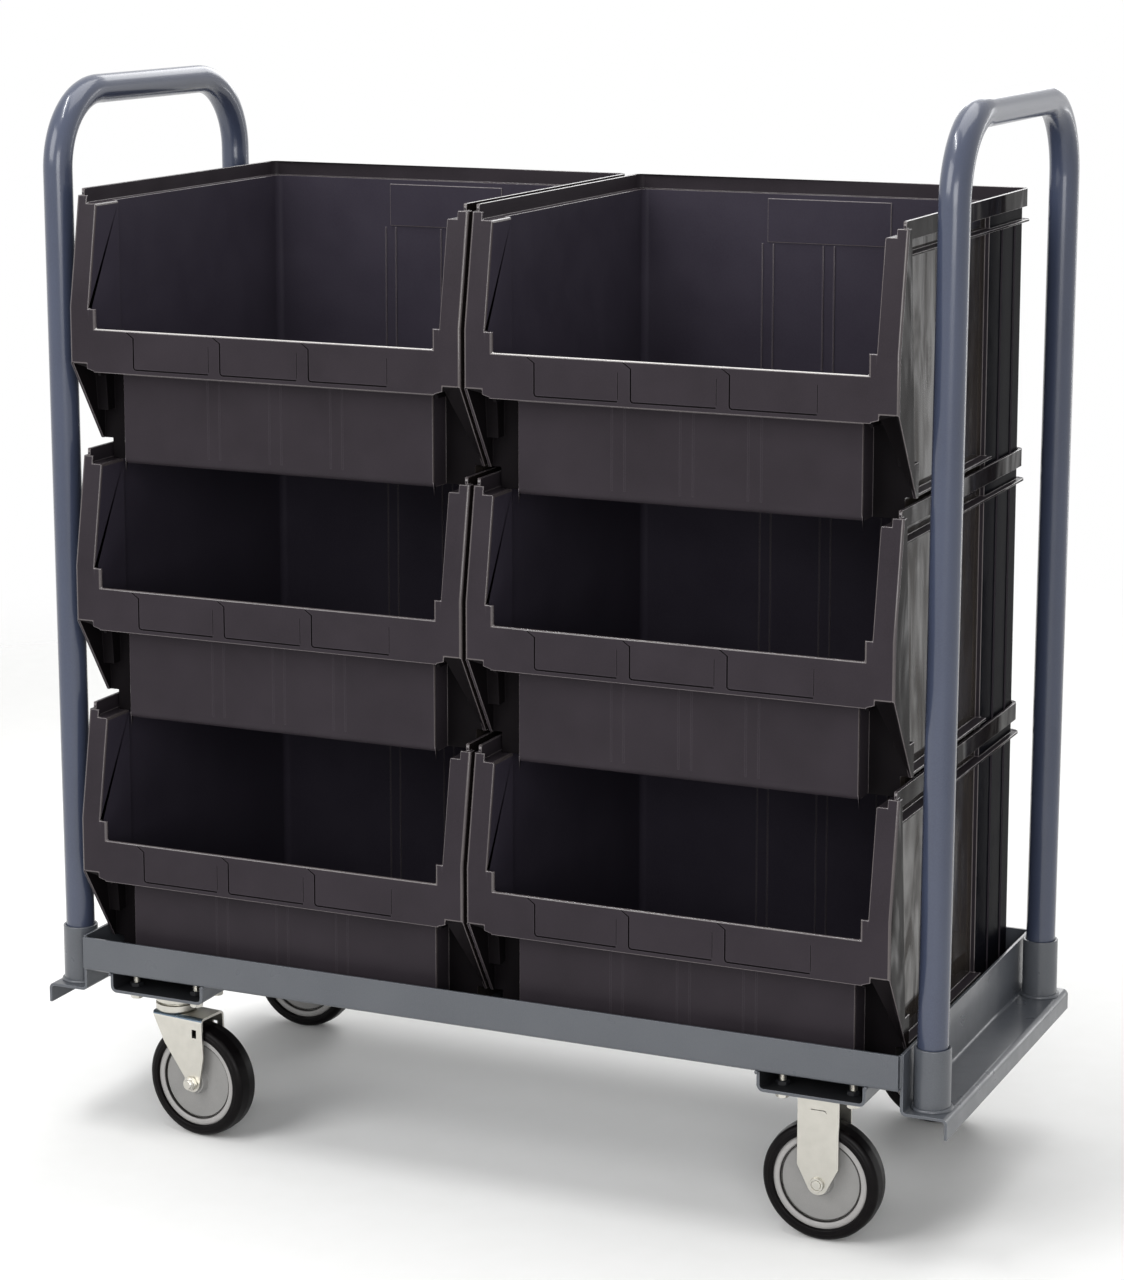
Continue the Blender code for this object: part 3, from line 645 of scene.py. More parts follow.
def arc(centre: Point, radius: float, start: float, stop: float, steps: int) -> Outline:
    """Points along an arc.

    Args:
        centre: Its centre.
        radius: Its radius.
        start: Where it starts, in degrees.
        stop: Where it ends, in degrees.
        steps: How many straight pieces it has.

    Returns:
        The points, both ends among them.
    """
    points = []
    for i in range(steps + 1):
        angle = math.radians(start + (stop - start) * i / steps)
        points.append((centre[0] + radius * math.cos(angle), centre[1] + radius * math.sin(angle)))
    return points


def in_mm(*points: Point) -> Outline:
    """An outline that is given in millimetres."""
    return [(first * MM, second * MM) for first, second in points]


def circle(radius: float, sides: int, centre: Point = (0.0, 0.0)) -> Outline:
    """A regular outline round a centre."""
    return arc(centre, radius, 0, 360, sides)[:-1]


def rounded_rectangle(half_x: float, half_y: float, radius: float) -> Outline:
    """A centred rectangle whose four corners are arcs.

    Args:
        half_x: Half its length.
        half_y: Half its depth.
        radius: The corners' radius.

    Returns:
        The outline, anticlockwise.
    """
    x = half_x - radius
    y = half_y - radius
    outline = []
    for centre, start in (((x, -y), -90), ((x, y), 0), ((-x, y), 90), ((-x, -y), 180)):
        outline += arc(centre, radius, start, start + 90, BEND_STEPS)
    return outline


def mirrored(side: Outline) -> Outline:
    """The same profile on the other side of the middle, from its end back to its start."""
    return [(radius, -along) for radius, along in reversed(side)]


def bent_strip(path: Sequence[Point], thickness: float, bend: float) -> Outline:
    """The section of a bent sheet.

    Args:
        path: Its centre line, with a point at each bend.
        thickness: The sheet's thickness.
        bend: The inner radius of its bends.

    Returns:
        The closed outline of the section.
    """
    middle = [Vector(point) for point in path]
    spine = [(middle[0], (middle[1] - middle[0]).normalized())]
    radius = bend + thickness / 2
    for before, corner, after in zip(middle, middle[1:], middle[2:]):
        come = (corner - before).normalized()
        leave = (after - corner).normalized()
        turn = come.angle(leave)
        side = 1.0 if come.cross(leave) > 0 else -1.0
        start = corner - come * radius * math.tan(turn / 2)
        centre = start + Vector((-come.y, come.x)) * side * radius
        for i in range(BEND_STEPS + 1):
            spin = Matrix.Rotation(side * turn * i / BEND_STEPS, 2)
            spine.append((centre + spin @ (start - centre), spin @ come))
    spine.append((middle[-1], (middle[-1] - middle[-2]).normalized()))
    left = []
    right = []
    for point, along in spine:
        across = Vector((-along.y, along.x)) * thickness / 2
        left.append(tuple(point + across))
        right.append(tuple(point - across))
    return left + right[::-1]


def to_mesh(work: BMesh, name: str) -> Mesh:
    """Turn the faces outwards and hand the mesh over.

    Args:
        work: The faces, which are freed.
        name: The mesh's name.

    Returns:
        The mesh.
    """
    bmesh.ops.recalc_face_normals(work, faces=work.faces)
    mesh = bpy.data.meshes.new(name)
    work.to_mesh(mesh)
    work.free()
    return mesh


def ring_round(
    work: BMesh, centre: Vector, across: tuple[Vector, Vector], radius: float, sides: int
) -> list[BMVert]:
    """Add a ring of corners round a point.

    Args:
        work: The mesh that they go into.
        centre: The ring's centre.
        across: Two square directions in the ring's plane.
        radius: The ring's radius.
        sides: How many corners it has.

    Returns:
        The corners.
    """
    return [work.verts.new(centre + across[0] * x + across[1] * y) for x, y in circle(radius, sides)]


def row_of_faces(
    work: BMesh, here: Sequence[BMVert], there: Sequence[BMVert], closed: bool = True
) -> None:
    """Join two rows of corners by four-sided faces.

    Args:
        work: The mesh that they go into.
        here: The first row.
        there: The second row, with as many corners.
        closed: Whether the last corners are joined to the first.
    """
    count = len(here)
    for j in range(count if closed else count - 1):
        k = (j + 1) % count
        work.faces.new((here[j], here[k], there[k], there[j]))


def prism(outline: Outline, axis: Axis, low: float, high: float) -> Mesh:
    """Push a closed outline along an axis.

    Args:
        outline: Points in the plane of the other two axes, in their order.
        axis: The direction of the push.
        low: Where it starts.
        high: Where it ends.

    Returns:
        A closed mesh.
    """
    work = bmesh.new()
    ends = []
    for level in (low, high):
        ring = []
        for a, b in outline:
            place = {Axis.X: (level, a, b), Axis.Y: (a, level, b), Axis.Z: (a, b, level)}[axis]
            ring.append(work.verts.new(place))
        ends.append(ring)
    work.faces.new(ends[0])
    work.faces.new(reversed(ends[1]))
    row_of_faces(work, *ends)
    return to_mesh(work, "prism")


def block(low: Sequence[float], high: Sequence[float]) -> Mesh:
    """A square block between two corners."""
    corners = [(low[0], low[1]), (high[0], low[1]), (high[0], high[1]), (low[0], high[1])]
    return prism(corners, Axis.Z, low[2], high[2])


def turned(profile: Outline, segments: int, axis: Axis, solid: bool = False) -> Mesh:
    """Turn a profile of (radius, along) points round an axis.

    Args:
        profile: A closed ring, or for a solid piece an open line from one end to the other.
        segments: How many steps a turn has.
        axis: Y or Z.
        solid: Whether both ends are closed by a flat face.

    Returns:
        A closed mesh.
    """
    work = bmesh.new()
    rings = []
    for across, up in circle(1.0, segments):
        ring = []
        for radius, along in profile:
            place = (radius * across, radius * up, along)
            if axis is Axis.Y:
                place = (radius * across, along, radius * up)
            ring.append(work.verts.new(place))
        rings.append(ring)
    for here, there in zip(rings, rings[1:] + rings[:1]):
        row_of_faces(work, here, there, closed=not solid)
    if solid:
        work.faces.new([ring[0] for ring in rings])
        work.faces.new([ring[-1] for ring in rings])
    return to_mesh(work, "turned")


def in_scene(name: str, data: ID) -> Object:
    """Add an object to the scene.

    Args:
        name: Its name.
        data: Its mesh, lamp or camera.

    Returns:
        The object.
    """
    holder = bpy.data.objects.new(name, data)
    bpy.context.scene.collection.objects.link(holder)
    return holder


def evaluated(mesh: Mesh, prepare: Callable[[Object], None]) -> Mesh:
    """Run modifiers on a mesh and return what they leave.

    Args:
        mesh: The mesh that they start from.
        prepare: Called with a helper object that holds it, to add the modifiers.

    Returns:
        The new mesh.
    """
    body = in_scene("work", mesh)
    prepare(body)
    graph = bpy.context.evaluated_depsgraph_get()
    result = bpy.data.meshes.new_from_object(body.evaluated_get(graph))
    bpy.data.objects.remove(body, do_unlink=True)
    return result


def combine(
    base: Mesh, joins: Sequence[Mesh] = (), cuts: Sequence[Mesh] = (), keeps: Sequence[Mesh] = ()
) -> Mesh:
    """Join, cut or intersect closed meshes.

    Args:
        base: The mesh that they start from.
        joins: Meshes that are added.
        cuts: Meshes that are taken away.
        keeps: Meshes outside which nothing is kept.

    Returns:
        The one mesh that is left.
    """
    helpers = []

    def prepare(body: Object) -> None:
        """Add one modifier for each mesh.

        Args:
            body: The helper object.
        """
        for operation, meshes in (("UNION", joins), ("INTERSECT", keeps), ("DIFFERENCE", cuts)):
            for mesh in meshes:
                helper = in_scene("helper", mesh)
                step = body.modifiers.new(operation, "BOOLEAN")
                step.operation = operation
                step.solver = "EXACT"
                step.object = helper
                helpers.append(helper)

    result = evaluated(base, prepare)
    for helper in helpers:
        bpy.data.objects.remove(helper, do_unlink=True)
    return result


def rounded(
    mesh: Mesh,
    radius: float,
    segments: int = 2,
    radius_at: Callable[[Vector, Vector], float] | None = None,
    marked: int = -1,
) -> Mesh:
    """Round a mesh's edges.

    Args:
        mesh: The mesh, whose flat faces are first cleaned of stray edges.
        radius: The largest radius.
        segments: How many faces lie round an edge.
        radius_at: Gives the radius of an edge from its two ends, or None for one radius everywhere.
        marked: The material number of the new faces, or -1 for that of their neighbours.

    Returns:
        The rounded mesh.
    """
    work = bmesh.new()
    work.from_mesh(mesh)
    bmesh.ops.remove_doubles(work, verts=work.verts, dist=TINY)
    flat = math.radians(0.5)
    bmesh.ops.dissolve_limit(work, angle_limit=flat, verts=work.verts, edges=work.edges)
    weights = work.edges.layers.float.new("bevel_weight_edge")
    for edge in work.edges:
        if len(edge.link_faces) != 2 or edge.calc_face_angle(0.0) < math.radians(FLAT_EDGE):
            continue
        wanted = radius
        if radius_at is not None:
            wanted = radius_at(edge.verts[0].co, edge.verts[1].co)
        edge[weights] = wanted / radius
    source = bpy.data.meshes.new("weighted")
    for _ in range(marked + 1):
        source.materials.append(None)
    work.to_mesh(source)
    work.free()

    def prepare(body: Object) -> None:
        """Add the bevel.

        Args:
            body: The helper object.
        """
        bevel = body.modifiers.new("edges", "BEVEL")
        bevel.limit_method = "WEIGHT"
        bevel.width = radius
        bevel.segments = segments
        bevel.use_clamp_overlap = False
        bevel.material = marked

    return evaluated(source, prepare)


def smooth(mesh: Mesh, angle: float = 38.0) -> Mesh:
    """Shade round places smooth while flat faces stay flat.

    Args:
        mesh: The mesh to shade.
        angle: Edges sharper than this, in degrees, stay sharp.

    Returns:
        The shaded mesh.
    """
    mesh.shade_smooth()
    mesh.set_sharp_from_angle(angle=math.radians(angle))

    def prepare(body: Object) -> None:
        """Let the large faces decide the shading."""
        weighted = body.modifiers.new("shading", "WEIGHTED_NORMAL")
        weighted.keep_sharp = True

    return evaluated(mesh, prepare)


def numbered(mesh: Mesh, count: int, number_of: Callable[[MeshPolygon], int]) -> Mesh:
    """Give each face the number of its material.

    Args:
        mesh: The mesh.
        count: How many materials it will have.
        number_of: Picks a face's number.

    Returns:
        The same mesh.
    """
    while len(mesh.materials) < count:
        mesh.materials.append(None)
    for face in mesh.polygons:
        face.material_index = number_of(face)
    return mesh


def middle_of(node: str) -> Vector:
    """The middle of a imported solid's box."""
    low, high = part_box(node)
    return (low + high) / 2


def merged(meshes: Sequence[Mesh]) -> Mesh:
    """Put several meshes into one, as they lie.

    Args:
        meshes: The meshes.

    Returns:
        The one mesh.
    """
    work = bmesh.new()
    for mesh in meshes:
        work.from_mesh(mesh)
    return to_mesh(work, "merged")


def placed(mesh: Mesh, place: Sequence[float], turn: float = 0.0) -> Mesh:
    """A copy of a mesh, turned round Z and moved.

    Args:
        mesh: The mesh, in its own frame.
        place: Where its origin goes.
        turn: The turn round Z, in radians.

    Returns:
        The copy, with its place in its mesh.
    """
    copy = mesh.copy()
    copy.transform(Matrix.Translation(Vector(place)) @ Matrix.Rotation(turn, 4, "Z"))
    return copy


def tube_along(points: Sequence[Vector], radii: Point, sides: int) -> Mesh:
    """A tube swept along points.

    Args:
        points: Its centre line.
        radii: Its outer and inner radius.
        sides: How many faces lie round it.

    Returns:
        A closed mesh.
    """
    work = bmesh.new()
    skins = ([], [])
    count = len(points)
    side = Vector((1.0, 0.0, 0.0))
    for i, point in enumerate(points):
        along = (points[min(i + 1, count - 1)] - points[max(i - 1, 0)]).normalized()
        side = (side - along * side.dot(along)).normalized()
        for skin, radius in zip(skins, radii):
            skin.append(ring_round(work, point, (side, along.cross(side)), radius, sides))
    for skin in skins:
        for here, there in zip(skin, skin[1:]):
            row_of_faces(work, here, there)
    for end in (0, -1):
        row_of_faces(work, skins[0][end], skins[1][end])
    return to_mesh(work, "tube")


def weld_bead(points: Sequence[Vector], width: float, closed: bool = False) -> Mesh:
    """A line of weld metal whose ripples follow each other like laid coins.

    Args:
        points: The corner that it fills, finely divided.
        width: Its width.
        closed: Whether its end meets its start.

    Returns:
        A closed mesh.
    """
    ripple = 1.8 * MM
    sides = 10
    work = bmesh.new()
    rings = []
    count = len(points)
    travelled = 0.0
    for i, point in enumerate(points):
        before = points[(i - 1) % count] if closed or i else points[0]
        after = points[(i + 1) % count] if closed or i < count - 1 else points[-1]
        along = (after - before).normalized()
        if i:
            travelled += (point - points[i - 1]).length
        side = along.orthogonal().normalized()
        swell = 0.5 * width * (0.88 + 0.12 * abs(math.sin(math.pi * travelled / ripple)))
        rings.append(ring_round(work, point, (side, along.cross(side)), swell, sides))
    for here, there in zip(rings, rings[1:] + (rings[:1] if closed else [])):
        row_of_faces(work, here, there)
    if not closed:
        work.faces.new(rings[0])
        work.faces.new(rings[-1])
    mesh = to_mesh(work, "weld")
    mesh.shade_smooth()
    return mesh


def alike(*pairs: Point) -> bool:
    """Whether the two measures of every pair are the same but for a hair."""
    return all(abs(one - other) < NEAR for one, other in pairs)


def divided(start: Sequence[float], stop: Sequence[float], step: float) -> list[Vector]:
    """Points along a straight line.

    Args:
        start: Where it starts.
        stop: Where it ends.
        step: How far apart they are.

    Returns:
        The points, both ends among them.
    """
    first = Vector(start)
    last = Vector(stop)
    count = max(2, round((last - first).length / step))
    return [first.lerp(last, i / count) for i in range(count + 1)]


def hex_head(radius: float, low: float, high: float, axis: Axis, both_ends: bool = False) -> Mesh:
    """A hexagon head or nut whose corners are turned off at one end or both.

    Args:
        radius: From the centre to a corner.
        low: Where it starts along the axis.
        high: Where it ends.
        axis: Its axis.
        both_ends: Whether the high end is turned off as well.

    Returns:
        A closed mesh.
    """
    chamfer = 0.16 * radius
    flat = 0.86 * radius
    clear = radius + 0.2 * MM
    profile = [(flat, low), (clear, low + chamfer)]
    if both_ends:
        profile += [(clear, high - chamfer), (flat, high)]
    else:
        profile += [(clear, high)]
    limits = turned(profile, 48, axis, solid=True)
    return combine(prism(circle(radius, 6), axis, low, high), keeps=(limits,))


def threaded(radius: float, low: float, high: float, axis: Axis) -> Mesh:
    """A threaded rod, its thread drawn as rings.

    Args:
        radius: Its outer radius.
        low: Where it starts along the axis.
        high: Where it ends.
        axis: Its axis.

    Returns:
        A closed mesh.
    """
    pitch = 1.1 * MM
    root = radius - 0.45 * MM
    cut = high - low - 1.2 * MM
    turns = max(1, round(cut / pitch))
    step = cut / turns
    profile = [(root, low), (root + 0.2 * MM, low + 0.1 * MM)]
    for i in range(turns):
        start = low + 0.6 * MM + i * step
        profile += [(root, start), (radius, start + 0.4 * step), (radius, start + 0.6 * step)]
    profile += [(root, high - 0.6 * MM), (root - 0.3 * MM, high)]
    return turned(profile, 24, axis, solid=True)


@dataclass
class SubAssembly:
    """What the cart's sub-assemblies share."""

    palette: Palette

    def add_piece(
        self,
        name: str,
        mesh: Mesh,
        material: Material | Sequence[Material],
        body: str,
        slot: str,
        *nodes: str,
    ) -> None:
        """Put a mesh on the frame.

        Args:
            name: The piece's name.
            mesh: Its mesh, in the frame's coordinates.
            material: Its material, or one for each material number that its faces carry.
            body: The body that it moves with.
            slot: The name of its finish's slot; not used.
            nodes: The solids that it stands for.
        """
        if isinstance(material, Material):
            mesh.materials.clear()
            mesh.materials.append(material)
        else:
            for index, entry in enumerate(material):
                mesh.materials[index] = entry
        piece = in_scene(name, mesh)
        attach(piece, body)
        if nodes:
            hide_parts(*nodes)
        log.info("%s: %d faces, rides on %s", name, len(mesh.polygons), body)


@dataclass
class BaseFrame(SubAssembly):
    """Rails, folded ends, caster channels, deck and handle sockets, all welded and coated in one colour."""

    rail_thickness: float = 3.2 * MM
    sheet: float = 3.2 * MM
    end_bend: float = 3.0 * MM
    end_web_bottom: float = 157.0 * MM
    channel_bend: float = 4.0 * MM
    socket_inner: float = 16.4 * MM
    socket_chamfer: float = 1.0 * MM
    foot_weld: float = 5.0 * MM
    seam_clear: float = 0.3 * MM
    seam_rise: float = 0.6 * MM
    seam_steps: int = 180
    corner_weld: float = 4.4 * MM
    channel_weld: float = 4.0 * MM
    channel_weld_half: float = 12.0 * MM
    channel_weld_inset: float = 20.0 * MM
    weld_step: float = 0.6 * MM
    edge: float = 0.5 * MM

    def build(self) -> None:
        """Build every piece of the base."""
        for name in ("front_rail", "rear_rail"):
            self.build_rail(name)
        for side in Side:
            self.build_end(side)
            self.build_channel(side)
            for end in End:
                self.build_socket(side, end)
        for side in Side:
            self.weld_corners(side)
            self.weld_channel(side)
        self.dress_deck()

    def add_steel(self, name: str, mesh: Mesh, *nodes: str) -> None:
        """Put a coated piece on the base."""
        self.add_piece(name, mesh, self.palette.frame, "base", "frame_steel", *nodes)

    def build_rail(self, name: str) -> None:
        """Build one angle iron.

        Args:
            name: The rail's name in the frame.
        """
        low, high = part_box(name)
        half = self.rail_thickness / 2
        front = name == "front_rail"
        outer = low.y + half if front else high.y - half
        inner = high.y if front else low.y
        path = [(outer, high.z), (outer, low.z + half), (inner, low.z + half)]
        section = bent_strip(path, self.rail_thickness, 1.5 * MM)
        mesh = smooth(rounded(prism(section, Axis.X, low.x, high.x), self.edge))
        self.add_steel(f"{name}_angle", mesh, name)

    def build_end(self, side: Side) -> None:
        """Build one folded end plate.

        Args:
            side: The end of the cart.
        """
        name = f"{side.label}_end_channel"
        low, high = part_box(name)
        half = self.sheet / 2
        inner, outer = (low.x, high.x) if side is Side.RIGHT else (high.x, low.x)
        wall = inner + side.value * half
        lip = outer - side.value * half
        web = self.end_web_bottom + half
        path = [(wall, high.z), (wall, web), (lip, web), (lip, low.z)]
        section = bent_strip(path, self.sheet, self.end_bend)
        mesh = smooth(rounded(prism(section, Axis.Y, low.y, high.y), self.edge))
        self.add_steel(f"{side.label}_end_fold", mesh, name)

    def build_channel(self, side: Side) -> None:
        """Build one caster channel with its bolt holes.

        Args:
            side: The end of the cart.
        """
        name = f"{side.label}_caster_channel"
        low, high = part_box(name)
        half = CHANNEL_SHEET / 2
        left = low.x + half
        right = high.x - half
        bottom = low.z + half
        path = [(left, high.z), (left, bottom), (right, bottom), (right, high.z)]
        section = bent_strip(path, CHANNEL_SHEET, self.channel_bend)
        channel = prism(section, Axis.Y, low.y, high.y)
        through = CHANNEL_SHEET + self.channel_bend
        holes = []
        for end in End:
            for number in range(1, 5):
                bolt = middle_of(f"{side.label}_{end.label}_bolt_{number}")
                outline = circle(BOLT_HOLE, 24, (bolt.x, bolt.y))
                holes.append(prism(outline, Axis.Z, low.z - through, low.z + through))

        def in_hollow(face: MeshPolygon) -> bool:
            """Whether a face lies inside the channel, where shade is painted.

            Args:
                face: A face of the channel.

            Returns:
                Whether it does.
            """
            middle = face.center
            within = left + half / 2 < middle.x < right - half / 2 and middle.z > bottom + half / 2
            return within and abs(face.normal.y) <= 0.5

        mesh = smooth(rounded(combine(channel, cuts=holes), self.edge))
        # Material 1 paints the channel's inside near-black, as shade
        mesh = numbered(mesh, 2, in_hollow)
        finishes = (self.palette.frame, self.palette.frame_hollow)
        self.add_piece(f"{side.label}_caster_rail", mesh, finishes, "base", "frame_steel", name)

    def build_socket(self, side: Side, end: End) -> None:
        """Build one handle socket with the weld round its foot.

        Args:
            side: The end of the cart.
            end: Front or rear.
        """
        name = f"{side.label}_{end.label}_socket"
        low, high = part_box(name)
        middle = (low + high) / 2
        outer = (high.x - low.x) / 2
        top = high.z - low.z
        chamfer = self.socket_chamfer
        profile = [(self.socket_inner, 0.0), (outer, 0.0)]
        profile += arc((outer - chamfer, top - chamfer), chamfer, 0, 90, 3)
        profile += [(self.socket_inner + chamfer / 2, top), (self.socket_inner, top - chamfer / 2)]
        mesh = smooth(placed(turned(profile, 64, Axis.Z), (middle.x, middle.y, low.z)))
        self.add_steel(f"{name}_tube", mesh, name)
        seam = []
        for x, y in circle(outer + self.seam_clear, self.seam_steps, (middle.x, middle.y)):
            seam.append(Vector((x, y, low.z + self.seam_rise)))
        self.add_steel(f"{name}_weld", weld_bead(seam, self.foot_weld, closed=True))

    def weld_corners(self, side: Side) -> None:
        """Weld the rails to one end plate.

        Args:
            side: The end of the cart.
        """
        wall_low, wall_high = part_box(f"{side.label}_end_channel")
        x = wall_low.x if side is Side.RIGHT else wall_high.x
        for end in End:
            rail_low, rail_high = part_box(f"{end.label}_rail")
            y = wall_low.y if end is End.FRONT else wall_high.y
            y -= end.value * 0.5 * MM
            corner = divided((x, y, rail_low.z + 3 * MM), (x, y, rail_high.z - 1.5 * MM), self.weld_step)
            name = f"{side.label}_{end.label}_corner_weld"
            self.add_steel(name, weld_bead(corner, self.corner_weld))

    def weld_channel(self, side: Side) -> None:
        """Weld one caster channel to the rails.

        Args:
            side: The end of the cart.
        """
        low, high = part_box(f"{side.label}_caster_channel")
        rail_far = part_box("rear_rail")[1].y
        z = high.z - 0.4 * MM
        for end in End:
            y = end.value * (rail_far - self.channel_weld_inset)
            for number, x in enumerate((low.x, high.x), start=1):
                first = (x, y - self.channel_weld_half, z)
                last = (x, y + self.channel_weld_half, z)
                bead = weld_bead(divided(first, last, self.weld_step), self.channel_weld)
                self.add_steel(f"{side.label}_{end.label}_channel_weld_{number}", bead)

    def dress_deck(self) -> None:
        """Give the deck sheet its coat."""
        for slot in frame["nodes"]["deck"].material_slots:
            slot.material = self.palette.frame
        log.info("deck: the packed sheet, coated")


@dataclass
class TubeHandle(SubAssembly):
    """One bent tube that stands in the sockets of one end."""

    side: Side
    # 1 1/4 inch stock
    outer: float = 15.875 * MM
    inner: float = 13.875 * MM
    bend: float = 85.0 * MM
    foot: float = 160.8 * MM
    mouth: float = 223.7 * MM
    splay: float = 6.5 * MM
    sides: int = 48
    bend_steps: int = 24

    def route(self) -> list[Vector]:
        """The centre line, from the foot in the front socket over the top to the rear one.

        Returns:
            Its points.
        """
        foot_x, front, _ = middle_of(f"{self.side.label}_front_socket")
        rear = middle_of(f"{self.side.label}_rear_socket").y
        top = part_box(f"{self.side.label}_handle")[1].z - self.outer
        shoulder = top - self.bend
        flat = [(front, self.foot), (front, self.mouth)]
        flat += arc((front + self.bend, shoulder), self.bend, 180, 90, self.bend_steps)
        flat += arc((rear - self.bend, shoulder), self.bend, 90, 0, self.bend_steps)
        flat += [(rear, self.mouth), (rear, self.foot)]
        points = []
        for y, z in flat:
            lean = self.splay * max(z - self.mouth, 0.0) / (top - self.mouth)
            points.append(Vector((foot_x + self.side.value * lean, y, z)))
        return points

    def build(self) -> None:
        """Build the tube."""
        name = f"{self.side.label}_handle"
        mesh = smooth(tube_along(self.route(), (self.outer, self.inner), self.sides))
        self.add_piece(f"{name}_tube", mesh, self.palette.handle, "base", "handle_steel", name)


@dataclass
class Wheel(SubAssembly):
    """A rubber tyre on a nylon hub."""

    prefix: str
    turn: float = 0.0
    radius: float = 63.5 * MM
    width: float = 32.0 * MM
    hub_radius: float = 50.8 * MM
    bore: float = 5.2 * MM
    groove_start: float = 41.8 * MM
    groove_end: float = 43.95 * MM
    shoulder: float = 6.5 * MM
    crown: float = 0.7 * MM
    segments: int = 96

    def tyre(self) -> Mesh:
        """The tyre: a crowned tread, rounded shoulders and a step in each side.

        Returns:
            The tyre, its middle on the origin.
        """
        half = self.width / 2
        inner = self.hub_radius + 0.3 * MM
        step = self.radius - self.shoulder
        side = [(inner, half - 1.5 * MM), (inner + 0.5 * MM, half - 0.4 * MM), (inner + 1.2 * MM, half)]
        side += [(step - 0.9 * MM, half), (step - 0.5 * MM, half - 0.4 * MM)]
        centre = (step - self.crown, half - 0.5 * MM - self.shoulder)
        side += arc(centre, self.shoulder, 82, 14, 8)
        side += [(self.radius - 0.35 * MM, 4.0 * MM), (self.radius - 0.05 * MM, 1.2 * MM)]
        profile = side + [(self.radius, 0.0)] + mirrored(side)
        return smooth(turned(profile, self.segments, Axis.Y))

    def hub(self) -> Mesh:
        """The hub: a rounded rim ring, a fine groove, a flat disc and a boss with its bore.

        Returns:
            The hub, its middle on the origin, with material 1, painted shade, in the groove and 2 on the
            rim.
        """
        side = [(self.bore, 17.0 * MM), (self.bore + 0.3 * MM, 17.2 * MM)]
        side += in_mm((12.6, 17.2), (13.0, 16.8), (14.4, 10.6), (15.2, 10.0), (16.4, 9.8))
        side += in_mm((41.6, 9.6), (42.1, 9.2), (42.3, 7.6), (43.7, 7.6), (44.0, 11.6))
        side += in_mm((44.6, 12.6), (45.6, 13.1), (48.6, 13.0), (50.0, 12.7))
        side += [(self.hub_radius, 12.0 * MM)]
        hub = smooth(turned(side + mirrored(side), self.segments, Axis.Y), 42.0)

        def zone(face: MeshPolygon) -> int:
            """The disc is 0, the groove 1 and the rim 2."""
            radius = math.hypot(face.center.x, face.center.z)
            return int(radius > self.groove_start) + int(radius > self.groove_end)

        return numbered(hub, 3, zone)

    def build(self) -> None:
        """Put both parts on the wheel's axle."""
        middle = middle_of(f"{self.prefix}_tyre")
        body = f"{self.prefix}_wheel"
        tyre = placed(self.tyre(), middle, self.turn)
        self.add_piece(f"{body}_tyre", tyre, self.palette.tyre, body, "tyre_rubber", f"{self.prefix}_tyre")
        hub = placed(self.hub(), middle, self.turn)
        finishes = (self.palette.hub, self.palette.hub_groove, self.palette.hub_ring)
        self.add_piece(f"{body}_hub", hub, finishes, body, "hub_plastic", f"{self.prefix}_hub")


